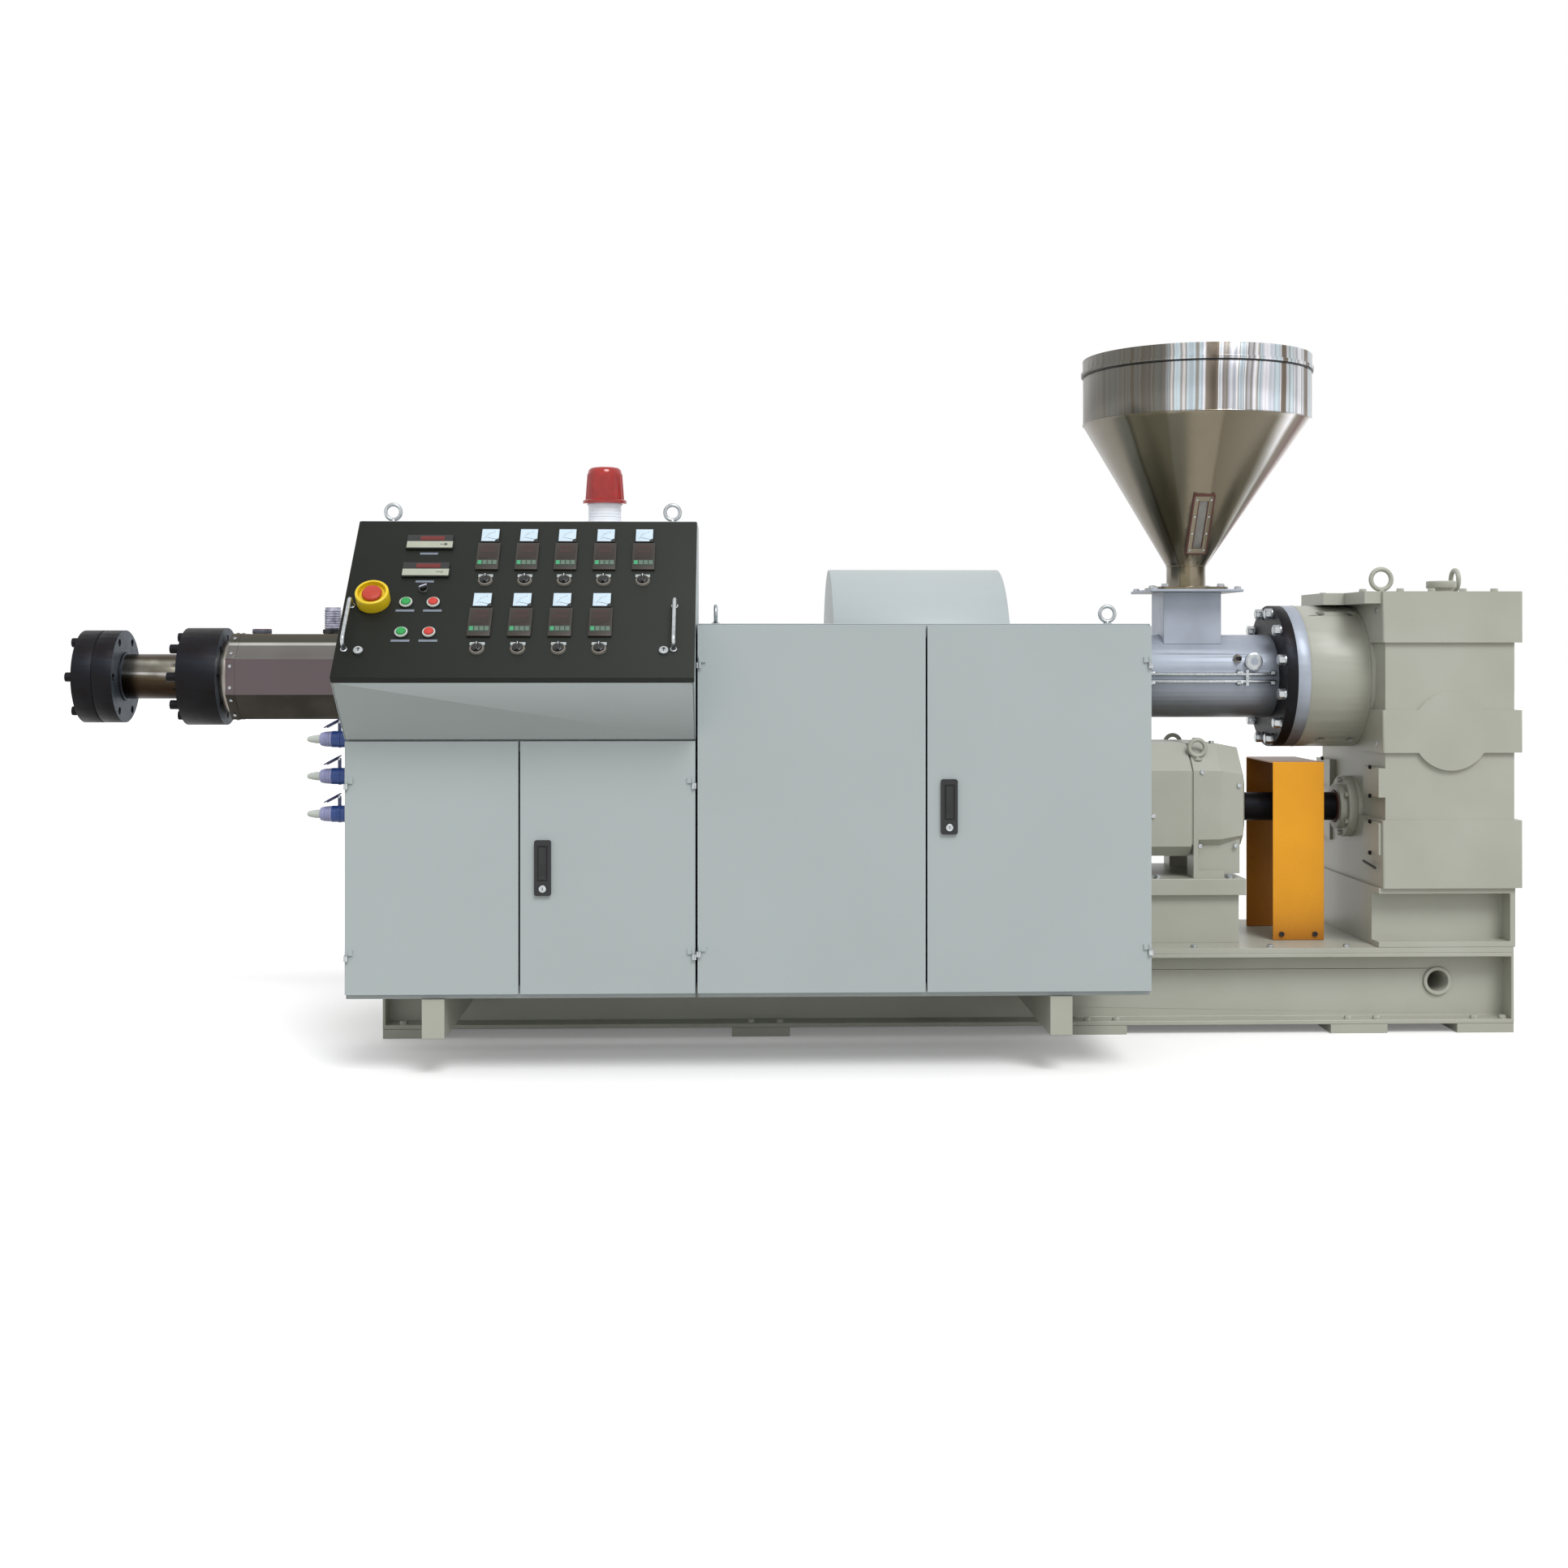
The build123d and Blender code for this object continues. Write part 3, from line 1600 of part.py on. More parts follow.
print("moved by", -(low_x + high_x) / 2, -(low_y + high_y) / 2)
print("door hinges at", hinge_axes, hinge_axis_y)
print("panel hinge at", panel_axis_y, panel_axis_z)
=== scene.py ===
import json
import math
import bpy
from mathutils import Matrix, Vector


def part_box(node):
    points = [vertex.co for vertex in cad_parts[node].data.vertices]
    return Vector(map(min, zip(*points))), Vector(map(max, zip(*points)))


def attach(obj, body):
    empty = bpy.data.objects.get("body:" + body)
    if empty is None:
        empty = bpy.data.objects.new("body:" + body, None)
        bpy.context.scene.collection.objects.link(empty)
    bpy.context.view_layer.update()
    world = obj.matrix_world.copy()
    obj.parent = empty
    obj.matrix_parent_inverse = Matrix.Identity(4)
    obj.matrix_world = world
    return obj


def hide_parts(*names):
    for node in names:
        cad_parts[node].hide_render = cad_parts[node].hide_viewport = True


bl_info = {
    "name": "Plastic extruder finish",
    "version": (1, 0, 0),
    "blender": (4, 5, 0),
    "location": "3D View > Sidebar > Extruder",
    "description": "Dresses the packed plastic extruder with its finishes and fine fittings",
    "category": "Object",
}

import bmesh
import bpy
from mathutils import Matrix, Vector

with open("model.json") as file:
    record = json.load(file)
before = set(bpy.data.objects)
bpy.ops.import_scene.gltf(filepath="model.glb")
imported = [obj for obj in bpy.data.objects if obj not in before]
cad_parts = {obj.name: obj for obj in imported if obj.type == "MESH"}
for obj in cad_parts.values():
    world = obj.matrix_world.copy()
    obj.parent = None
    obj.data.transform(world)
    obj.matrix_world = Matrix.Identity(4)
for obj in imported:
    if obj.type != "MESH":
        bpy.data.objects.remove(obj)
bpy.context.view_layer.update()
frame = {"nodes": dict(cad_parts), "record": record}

MM = 0.001
LEFT, RIGHT, FRONT, UP = (-1, 0, 0), (1, 0, 0), (0, -1, 0), (0, 0, 1)
WHITE = (1.0, 1.0, 1.0, 1.0)
PHOTO_PIXELS = 1932
SENSOR_MM = 36.0


# Small helpers for colours, nodes and meshes
def linear(colour):
    """The linear RGBA of an sRGB hex colour such as "B4BEC0"."""
    channels = [int(colour[i : i + 2], 16) / 255 for i in (0, 2, 4)]
    bent = (c / 12.92 if c <= 0.04045 else ((c + 0.055) / 1.055) ** 2.4 for c in channels)
    return (*bent, 1.0)


def srgb(colour):
    """The linear RGB of an sRGB hex colour, for a colour property's default."""
    return linear(colour)[:3]


def feed(tree, node, inputs):
    """Sets a node's inputs to values, to sockets or to the first output in use of other nodes."""
    for key, value in inputs.items():
        if isinstance(value, bpy.types.Node):
            value = next(socket for socket in value.outputs if socket.enabled)
        if isinstance(value, bpy.types.NodeSocket):
            tree.links.new(value, node.inputs[key])
        else:
            node.inputs[key].default_value = value


def add_node(tree, kind, inputs=None, **settings):
    """Adds one node with its settings and its inputs."""
    node = tree.nodes.new(kind)
    for name, value in settings.items():
        setattr(node, name, value)
    feed(tree, node, inputs or {})
    return node


def per_metre(millimetres):
    """A pattern's scale for features of this size."""
    return 1000.0 / millimetres


def pointing(axis):
    """The turn that takes the z axis to another one."""
    return Vector(axis).to_track_quat("Z", "Y").to_matrix().to_4x4()


class Shape:
    """Gathers the faces of one piece, each with its finish's short name, in the frame's metres."""

    def __init__(self, place=None):
        self.mesh = bmesh.new()
        self.place = place or Matrix.Identity(4)
        self.coats = []

    def settle(self, faces, coat, matrix, edge):
        """Places new faces, rounds their edges and gives them their finish."""
        if coat not in self.coats:
            self.coats.append(coat)
        for face in faces:
            face.material_index = self.coats.index(coat)
            face.smooth = True
        points = list({point for face in faces for point in face.verts})
        bmesh.ops.transform(self.mesh, matrix=self.place @ matrix, verts=points)
        if edge:
            sharp = [e for e in {e for f in faces for e in f.edges} if e.calc_face_angle(0) > 0.6]
            bmesh.ops.bevel(
                self.mesh, geom=sharp, offset=edge, segments=2, profile=0.6, affect="EDGES",
                clamp_overlap=True,
            )

    def faces_of(self, made):
        """The faces round the points of a new body."""
        return list({face for point in made["verts"] for face in point.link_faces})

    def box(self, low, high, coat, edge=0.0):
        """A block between two corners."""
        low, high = Vector(low), Vector(high)
        made = bmesh.ops.create_cube(self.mesh, size=1.0)
        size = Matrix.Diagonal((*(high - low), 1.0))
        self.settle(self.faces_of(made), coat, Matrix.Translation((low + high) / 2) @ size, edge)

    def rod(self, start, end, radius, coat, sides=32):
        """A round bar between two points."""
        start, end = Vector(start), Vector(end)
        along = end - start
        made = bmesh.ops.create_cone(
            self.mesh, cap_ends=True, segments=sides, radius1=radius, radius2=radius,
            depth=along.length,
        )
        middle = Matrix.Translation((start + end) / 2)
        self.settle(self.faces_of(made), coat, middle @ pointing(along), 0.0)

    def skin(self, pairs):
        """The faces between pairs of loops with the same number of points."""
        faces = []
        for one, two in pairs:
            for k in range(len(one)):
                m = (k + 1) % len(one)
                faces.append(self.mesh.faces.new([one[k], two[k], two[m], one[m]]))
        return faces

    def turned(self, profile, coat, foot=(0, 0, 0), axis=UP, sides=48):
        """A turned piece: points of (radius, height) from end to end, and a number of flats."""
        rings = []
        for radius, height, *flats in profile:
            if radius <= 0:
                rings.append([self.mesh.verts.new((0, 0, height))])
                continue
            reaches = turned_ring(sides, radius, flats[0] if flats else 0)
            rings.append([
                self.mesh.verts.new((r * math.cos(a), r * math.sin(a), height)) for a, r in reaches
            ])
        faces = []
        for low, high in zip(rings, rings[1:]):
            for i in range(sides):
                j = (i + 1) % sides
                four = [
                    low[i % len(low)], low[j % len(low)], high[j % len(high)], high[i % len(high)],
                ]
                kept = [point for k, point in enumerate(four) if point not in four[:k]]
                if len(kept) > 2:
                    faces.append(self.mesh.faces.new(kept))
        self.settle(faces, coat, Matrix.Translation(foot) @ pointing(axis), 0.0)

    def ring(self, centre, radius, wire, coat, axis=UP, sides=48, wire_sides=12, sweep=2 * math.pi):
        """A round wire bent to a ring, or to a part of one."""
        closed = sweep == 2 * math.pi
        count = sides if closed else sides + 1
        loops = []
        for i in range(count):
            a = sweep * i / sides
            loop = []
            for k in range(wire_sides):
                b = 2 * math.pi * k / wire_sides
                reach = radius + wire * math.cos(b)
                loop.append(
                    self.mesh.verts.new((
                        reach * math.cos(a), reach * math.sin(a), wire * math.sin(b),
                    ))
                )
            loops.append(loop)
        if closed:
            loops.append(loops[0])
        faces = self.skin(zip(loops, loops[1:]))
        if not closed:
            faces.append(self.mesh.faces.new(loops[0]))
            faces.append(self.mesh.faces.new(list(reversed(loops[-1]))))
        self.settle(faces, coat, Matrix.Translation(centre) @ pointing(axis), 0.0)

    def prism(self, outline, low, high, coat, matrix=None, edge=0.0):
        """A plate with an outline of (x, y) points, between two heights."""
        bottom = [self.mesh.verts.new((x, y, low)) for x, y in outline]
        top = [self.mesh.verts.new((x, y, high)) for x, y in outline]
        caps = [self.mesh.faces.new(list(reversed(bottom))), self.mesh.faces.new(top)]
        faces = caps + self.skin([(top, bottom)])
        self.settle(faces, coat, matrix or Matrix.Identity(4), edge)

    def done(self, name, body, replaces=()):
        """Makes the object, and hangs it on its body."""
        bmesh.ops.recalc_face_normals(self.mesh, faces=self.mesh.faces)
        data = bpy.data.meshes.new(name)
        self.mesh.to_mesh(data)
        self.mesh.free()
        for coat in self.coats:
            data.materials.append(finish(coat))
        data.set_sharp_from_angle(angle=math.radians(35))
        piece = bpy.data.objects.new(name, data)
        bpy.context.scene.collection.objects.link(piece)
        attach(piece, body)
        if replaces:
            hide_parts(*replaces)


def solids_of(node):
    """The separate solids of a node, each as the list of its points, from left to right."""
    mesh = frame["nodes"][node].data
    keys = [tuple(round(c * 20000) for c in point.co) for point in mesh.vertices]
    leader = {key: key for key in keys}

    def find(key):
        while leader[key] != key:
            leader[key] = leader[leader[key]]
            key = leader[key]
        return key

    for face in mesh.polygons:
        first = find(keys[face.vertices[0]])
        for index in face.vertices[1:]:
            leader[find(keys[index])] = first
    groups = {}
    for key, point in zip(keys, mesh.vertices):
        groups.setdefault(find(key), []).append(point.co.copy())
    return sorted(
        groups.values(),
        key=lambda points: (round(min(p.x for p in points), 3), min(p.z for p in points)),
    )


def corners(points):
    """The lowest and the highest corner of some points."""
    low = Vector([min(p[i] for p in points) for i in range(3)])
    high = Vector([max(p[i] for p in points) for i in range(3)])
    return low, high


# Sizes and colours that a user would change
class ExtruderView(bpy.types.PropertyGroup):
    """Where the photograph was taken from, and how the studio is lit."""

    camera_x: bpy.props.FloatProperty(
        name="Camera x", description="Camera's place along the machine", default=-0.1645,
        unit="LENGTH",
    )
    camera_y: bpy.props.FloatProperty(
        name="Camera y", description="Camera's place in front of the machine", default=-5.1695,
        unit="LENGTH",
    )
    camera_z: bpy.props.FloatProperty(
        name="Camera height", description="Camera's height above the floor", default=1.079,
        unit="LENGTH",
    )
    turn: bpy.props.FloatProperty(
        name="Turn", description="How far the camera turns to the right", default=math.radians(1.6),
        subtype="ANGLE",
    )
    roll: bpy.props.FloatProperty(
        name="Roll", description="How far the camera leans", default=0.0, subtype="ANGLE",
    )
    focal_pixels: bpy.props.FloatProperty(
        name="Focal length", description="Focal length in pixels of the photograph", default=2300.0,
    )
    horizon_pixel: bpy.props.FloatProperty(
        name="Horizon", description="Height of the horizon in the photograph, in pixels",
        default=800.0,
    )
    sky: bpy.props.FloatProperty(
        name="Sky light", description="Strength of the even light from all around", default=0.8,
    )
    key_watts: bpy.props.FloatProperty(
        name="Key lamp", description="Strength of the large lamp above the operator", default=1.65,
    )


class ExtruderColours(bpy.types.PropertyGroup):
    """The paints and plastics of the machine."""

    cabinet: bpy.props.FloatVectorProperty(
        name="Cabinets", description="Powder coat of the cabinets", subtype="COLOR",
        default=srgb("AEB7B9"), min=0, max=1,
    )
    machine: bpy.props.FloatVectorProperty(
        name="Machine", description="Enamel of base, motor and gearbox", subtype="COLOR",
        default=srgb("B1B2A8"), min=0, max=1,
    )
    panel: bpy.props.FloatVectorProperty(
        name="Operator panel", description="Enamel of the panel", subtype="COLOR",
        default=srgb("161813"), min=0, max=1,
    )
    barrel: bpy.props.FloatVectorProperty(
        name="Feed barrel", description="Aluminium paint", subtype="COLOR", default=srgb("A9B1BF"),
        min=0, max=1,
    )
    guard: bpy.props.FloatVectorProperty(
        name="Guard", description="Gloss enamel of the coupling guard", subtype="COLOR",
        default=srgb("F2A822"), min=0, max=1,
    )


def darkened(colour, share):
    """A colour with this share of its light."""
    return (*(channel * share for channel in colour[:3]), 1.0)


def paint(name):
    """One of the colours that the user can change."""
    return (*getattr(bpy.context.scene.extruder_colours, name), 1.0)


def graded(tree, value, span, shares, colour, other):
    """A colour that takes these shares of another one as a value runs over its span."""
    share = add_node(
        tree, "ShaderNodeMapRange",
        {"Value": value, "From Min": span[0], "From Max": span[1], "To Min": shares[0],
         "To Max": shares[1]},
    )
    return add_node(
        tree, "ShaderNodeMix", {"Factor": share, "A": colour, "B": other}, data_type="RGBA",
    )


def shaded(tree, colour, darker, place, size_mm, spread, detail=3.0):
    """A colour that drifts a little towards a darker one over patches of this size."""
    noise = add_node(
        tree, "ShaderNodeTexNoise",
        {"Vector": place, "Scale": per_metre(size_mm), "Detail": detail},
    )
    return graded(tree, noise, (0.3, 0.7), (0.0, spread), colour, darker)


def embossed(tree, place, size_mm, detail, strength, distance):
    """A skin's texture with features of this size, and the bump that it makes."""
    skin = add_node(
        tree, "ShaderNodeTexNoise",
        {"Vector": place, "Scale": per_metre(size_mm), "Detail": detail},
    )
    relief = {"Height": skin, "Strength": strength, "Distance": distance}
    return skin, add_node(tree, "ShaderNodeBump", relief)


def painted_reflection_by_slope(tree, stops):
    """Painted reflection: a colour painted for each slope, for what bright metal would mirror
    there, 0 facing the floor and 1 the ceiling.
    """
    facing = add_node(tree, "ShaderNodeNewGeometry").outputs["Normal"]
    split = add_node(tree, "ShaderNodeSeparateXYZ", {"Vector": facing}).outputs
    slope = add_node(
        tree, "ShaderNodeMapRange", {"Value": split["Z"], "From Min": -1.0, "From Max": 1.0},
    )
    ramp = add_node(tree, "ShaderNodeValToRGB", {"Fac": slope})
    fill_ramp(ramp, stops)
    return ramp, split["X"], split["Z"]


def fill_ramp(ramp, stops):
    """Sets a colour ramp's stops, each a place and a colour."""
    elements = ramp.color_ramp.elements
    while len(elements) < len(stops):
        elements.new(0.5)
    for element, (position, colour) in zip(elements, stops):
        element.position = position
        element.color = linear(colour)


# Each maker gets a new material's node tree and the place on the piece in metres, and gives
# the inputs of its shader. Its comment says what the real material is and how it was made.
def powder_coated_steel(tree, place):
    # Polyester powder coat on folded sheet: even, satin, with a very fine orange peel.
    colour = paint("cabinet")
    tint = shaded(tree, colour, darkened(colour, 0.93), place, 380.0, 0.55)
    # the orange peel is about 1 mm, drawn at 3 mm so that it shows
    _, bump = embossed(tree, place, 3.0, 2.0, 0.12, 0.0003)
    return {"Base Color": tint, "Normal": bump, "Roughness": 0.42, "Specular IOR Level": 0.45}


def enamelled_machine(tree, place):
    # Sprayed satin enamel on castings and welded plate, with painted shade: darker and more olive
    # in its corners and recesses.
    tint = shaded(tree, paint("machine"), linear("9FA093"), place, 240.0, 0.5)
    # painted shade: ambient occlusion turns the enamel darker and olive where parts meet and in
    # hollows
    corner = add_node(
        tree, "ShaderNodeAmbientOcclusion", {"Distance": 0.09}, samples=6,
    ).outputs["AO"]
    with_painted_light = graded(tree, corner, (0.15, 0.8), (0.08, 0.0), tint, linear("78745A"))
    # sprayed enamel levels to a 4 mm peel over the casting's own 14 mm ripple
    peel = add_node(
        tree, "ShaderNodeTexNoise", {"Vector": place, "Scale": per_metre(4.0), "Detail": 2.0},
    )
    ripple = add_node(
        tree, "ShaderNodeTexNoise", {"Vector": place, "Scale": per_metre(14.0), "Detail": 1.0},
    )
    height = add_node(
        tree, "ShaderNodeMath", {0: ripple, 1: 1.5, 2: peel}, operation="MULTIPLY_ADD",
    )
    bump = add_node(
        tree, "ShaderNodeBump", {"Height": height, "Strength": 0.16, "Distance": 0.0006},
    )
    return {"Base Color": with_painted_light, "Normal": bump, "Roughness": 0.4}


def enamelled_panel(tree, place):
    # Dark satin enamel on the operator panel's sheet, with faint handling marks, and a painted
    # sheen that pales it towards its right side.
    low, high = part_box("control_panel")
    x = add_node(tree, "ShaderNodeSeparateXYZ", {"Vector": place}).outputs["X"]
    # painted sheen: the colour pales from the panel's left edge to its right one
    painted_sheen = graded(tree, x, (low.x, high.x), (0.0, 0.75), paint("panel"), linear("393C39"))
    tint = shaded(tree, painted_sheen, linear("262925"), place, 420.0, 0.6)
    _, bump = embossed(tree, place, 2.5, 2.0, 0.1, 0.0003)
    return {"Base Color": tint, "Normal": bump, "Roughness": 0.42, "Specular IOR Level": 0.14}


def enamelled_guard(tree, place):
    # Gloss safety enamel on bent sheet: deep and wet-looking, with painted shade that turns it
    # darker and browner where it faces itself.
    tint = shaded(tree, paint("guard"), linear("E39A20"), place, 160.0, 0.5)
    # painted shade: ambient occlusion darkens the inside of the guard towards brown
    hollow = add_node(
        tree, "ShaderNodeAmbientOcclusion", {"Distance": 0.3}, samples=8,
    ).outputs["AO"]
    with_painted_light = graded(tree, hollow, (0.45, 0.85), (0.8, 0.0), tint, linear("7A3E12"))
    _, bump = embossed(tree, place, 6.0, 1.0, 0.08, 0.0004)
    return {"Base Color": with_painted_light, "Normal": bump, "Roughness": 0.34, "Specular IOR Level": 0.3}


def aluminium_painted_barrel(tree, place):
    # Heat-proof aluminium paint: metal flake in a clear binder, soft silver with a fine sparkle;
    # a painted shade turns its underside to a dark brown grey.
    facing = add_node(tree, "ShaderNodeNewGeometry").outputs["Normal"]
    upward = add_node(tree, "ShaderNodeSeparateXYZ", {"Vector": facing}).outputs["Z"]
    # painted shade: darker and browner as the surface faces down
    painted_underside_shade = graded(
        tree, upward, (-0.85, -0.05), (0.8, 0.0), paint("barrel"), linear("4E463D"),
    )
    tint = shaded(tree, painted_underside_shade, linear("858B97"), place, 90.0, 0.4, 5.0)
    # flake is far under a millimetre, drawn at 1.5 mm so that it shows
    flake = add_node(tree, "ShaderNodeTexVoronoi", {"Vector": place, "Scale": per_metre(1.5)})
    rough = add_node(tree, "ShaderNodeMapRange", {"Value": flake, "To Min": 0.36, "To Max": 0.5})
    bump = add_node(tree, "ShaderNodeBump", {"Height": flake, "Strength": 0.08, "Distance": 0.0004})
    return {"Base Color": tint, "Roughness": rough, "Normal": bump, "Metallic": 0.35}


DRUM_HEIGHT = 151.0 * MM
# painted reflections: bands of the hall that the drum would mirror, by the noise round it
DRUM_PAINTED_REFLECTIONS = (
    (0.3, "5F564C"), (0.4, "857C72"), (0.43, "EDEBF2"), (0.47, "A7B2BB"), (0.5, "C9D8DF"),
    (0.53, "8D8883"), (0.56, "F4F2F4"), (0.6, "B9BCC6"), (0.64, "7C746C"), (0.72, "D5D7E0"),
)
# painted reflections on the cone, in bands from its left edge to its right one
CONE_PAINTED_REFLECTIONS = (
    (0.0, "77726A"), (0.225, "7B766B"), (0.235, "564F40"), (0.25, "7A715C"), (0.35, "776D58"),
    (0.36, "867D6C"), (0.51, "7A7262"), (0.52, "665F50"), (0.68, "7B7467"), (0.69, "8F887C"),
    (0.74, "F0EEF0"), (0.76, "7D766B"), (0.8, "56302A"), (0.83, "A59C96"), (0.87, "F6F4F8"),
)


def polished_stainless_sheet(tree, place):
    # Mirror-polished stainless sheet, rolled from long flats, with painted reflections: upright
    # bands painted into its colour, narrow on the drum and the lid, broad on the cone.
    low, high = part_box("hopper_lid")
    middle = (low + high) / 2
    split = add_node(tree, "ShaderNodeSeparateXYZ", {"Vector": place}).outputs
    across = add_node(tree, "ShaderNodeMath", {0: split["X"], 1: middle.x}, operation="SUBTRACT")
    depth = add_node(tree, "ShaderNodeMath", {0: middle.y, 1: split["Y"]}, operation="SUBTRACT")
    # the angle round the hopper: a quarter turn back on the left, 0 in front of the operator
    angle = add_node(tree, "ShaderNodeMath", {0: across, 1: depth}, operation="ARCTAN2")
    wobble = add_node(
        tree, "ShaderNodeTexNoise", {"Vector": place, "Scale": per_metre(300.0), "Detail": 1.0},
    )
    bent = add_node(tree, "ShaderNodeMath", {0: wobble, 1: 0.1, 2: angle}, operation="MULTIPLY_ADD")
    quarter = math.pi / 2
    share = add_node(
        tree, "ShaderNodeMapRange", {"Value": bent, "From Min": -quarter, "From Max": quarter},
    )
    narrow = add_node(
        tree, "ShaderNodeTexNoise", {"W": bent, "Scale": 5.6, "Detail": 1.2, "Roughness": 0.5},
        noise_dimensions="1D",
    )
    drum = add_node(tree, "ShaderNodeValToRGB", {"Fac": narrow})
    fill_ramp(drum, DRUM_PAINTED_REFLECTIONS)
    # painted shade: the drum's left third is painted dark, for the dark end of the hall that it
    # would mirror
    drum_with_painted_shade = graded(tree, share, (0.35, 0.37), (0.92, 0.0), drum, linear("57534A"))
    cone = add_node(tree, "ShaderNodeValToRGB", {"Fac": share})
    fill_ramp(cone, CONE_PAINTED_REFLECTIONS)
    seam_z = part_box("feed_hopper")[1].z - DRUM_HEIGHT
    seam = (seam_z - 2 * MM, seam_z + 2 * MM)
    with_painted_light = graded(tree, split["Z"], seam, (0.0, 1.0), cone, drum_with_painted_shade)
    # painted reflection: the lid's flat top is painted an even pale grey, for the even ceiling that
    # it would mirror
    facing = add_node(tree, "ShaderNodeNewGeometry").outputs["Normal"]
    upward = add_node(tree, "ShaderNodeSeparateXYZ", {"Vector": facing}).outputs["Z"]
    with_painted_lid_top = graded(tree, upward, (0.8, 0.95), (0.0, 1.0), with_painted_light, linear("A9AAA8"))
    tint = shaded(tree, with_painted_lid_top, linear("6B6557"), place, 60.0, 0.18)
    bump = add_node(tree, "ShaderNodeBump", {"Height": narrow, "Strength": 0.2, "Distance": 0.001})
    return {"Base Color": tint, "Normal": bump, "Metallic": 1.0, "Roughness": 0.27}


# painted reflections of the cover's folds by their slope, up to the fold where the roof's painted
# reflections take over
COVER_PAINTED_REFLECTIONS = (
    (0.0, "1E1C17"), (0.15, "27241E"), (0.2, "1E1B16"), (0.45, "61575A"), (0.55, "645A5D"),
    (0.62, "7C5A60"), (0.82, "6F706D"),
)
ROOF_PAINTED_REFLECTIONS = (
    (0.7, "73706E"), (0.81, "787673"), (0.83, "DEDCD6"), (0.855, "4D4D45"), (0.93, "56544B"),
    (0.97, "80704F"), (1.0, "3A362E"),
)


def brushed_stainless_cover(tree, place):
    # Satin stainless sheet, belt-ground along its length: fine streaks, and painted reflections,
    # a different grey on each fold for the part of the hall that it would mirror.
    # grit lines are about 0.2 mm apart, drawn at 2 mm so that they show
    stretch = add_node(tree, "ShaderNodeMapping", {"Vector": place, "Scale": (0.02, 1.0, 1.0)})
    lines, bump = embossed(tree, stretch, 2.0, 3.0, 0.1, 0.0003)
    painted_reflection_tone, _, slope = painted_reflection_by_slope(tree, COVER_PAINTED_REFLECTIONS)
    # painted reflection and painted highlight: the upper fold is painted dark for the roof it would
    # mirror, above a bright painted line for a row of windows
    low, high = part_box("heater_cover")
    height = add_node(tree, "ShaderNodeSeparateXYZ", {"Vector": place}).outputs["Z"]
    share = add_node(
        tree, "ShaderNodeMapRange", {"Value": height, "From Min": low.z, "From Max": high.z},
    )
    roof = add_node(tree, "ShaderNodeValToRGB", {"Fac": share})
    fill_ramp(roof, ROOF_PAINTED_REFLECTIONS)
    folded = graded(tree, slope, (0.4, 0.6), (0.0, 1.0), painted_reflection_tone, roof)
    tint = shaded(tree, folded, linear("59544F"), place, 150.0, 0.35)
    rough = add_node(tree, "ShaderNodeMapRange", {"Value": lines, "To Min": 0.24, "To Max": 0.42})
    return {"Base Color": tint, "Roughness": rough, "Normal": bump, "Metallic": 1.0}


# painted reflections of the blackened steel, by slope
BLACK_PAINTED_REFLECTIONS = (
    (0.0, "0E0B09"), (0.4, "14100F"), (0.52, "1A191D"), (0.66, "24272F"), (0.76, "191417"),
    (1.0, "120E10"),
)


def blackened_steel(tree, place):
    # Blackened and oiled forged steel: a near-black film with painted reflections by slope and a
    # painted bluish sheen on faced ends that point right, worn at random.
    painted_reflection_tone, end_on, _ = painted_reflection_by_slope(tree, BLACK_PAINTED_REFLECTIONS)
    # painted sheen: faces that point right are painted bluish
    face = graded(tree, end_on, (0.6, 0.85), (0.0, 0.85), painted_reflection_tone, linear("5F6A76"))
    tint = shaded(tree, face, linear("1A1C22"), place, 45.0, 0.6, 4.0)
    marks, bump = embossed(tree, place, 7.0, 4.0, 0.15, 0.0005)
    rough = add_node(tree, "ShaderNodeMapRange", {"Value": marks, "To Min": 0.34, "To Max": 0.6})
    return {
        "Base Color": tint, "Roughness": rough, "Normal": bump, "Metallic": 0.45,
        "Specular IOR Level": 0.18,
    }


def conduit_sleeve_with_painted_shade(tree, place):
    # Flexible plastic-coated conduit: pale lilac coating, mottled with dark patches of painted
    # shade for the shadows in its ribs.
    tint = shaded(tree, linear("C6C6DA"), linear("3E3F55"), place, 22.0, 0.95, 2.0)
    _, bump = embossed(tree, place, 9.0, 1.0, 0.4, 0.001)
    return {"Base Color": tint, "Normal": bump, "Roughness": 0.5}


# brown stain with painted reflections by slope: painted shade facing down, painted highlights
# between
STAINED_PAINTED_REFLECTIONS = (
    (0.0, "1B1410"), (0.25, "1E1712"), (0.45, "3F362A"), (0.53, "6F685B"), (0.57, "D2D0CC"),
    (0.63, "76736A"), (0.74, "74736A"), (0.83, "B3B1A6"), (0.9, "544D40"), (1.0, "30271D"),
)


def tool_marks(tree, place, squeeze):
    """The rings that a lathe leaves across the x axis, as a bump."""
    # tool marks are about 0.3 mm apart, drawn at 2.5 mm so that they show
    squeezed = add_node(
        tree, "ShaderNodeMapping", {"Vector": place, "Scale": (1.0, squeeze, squeeze)},
    )
    return embossed(tree, squeezed, 2.5, 2.0, 0.15, 0.0003)[1]


def heat_stained_steel(tree, place):
    # Turned steel that has been hot for years: brown oil stain, with painted reflections by slope,
    # bright streaks on some slopes and painted shade darkest where it faces down.
    painted_reflection_tone, _, _ = painted_reflection_by_slope(tree, STAINED_PAINTED_REFLECTIONS)
    tint = shaded(tree, painted_reflection_tone, linear("3A2C1E"), place, 50.0, 0.55, 4.0)
    bump = tool_marks(tree, place, 0.05)
    return {"Base Color": tint, "Normal": bump, "Metallic": 1.0, "Roughness": 0.3}


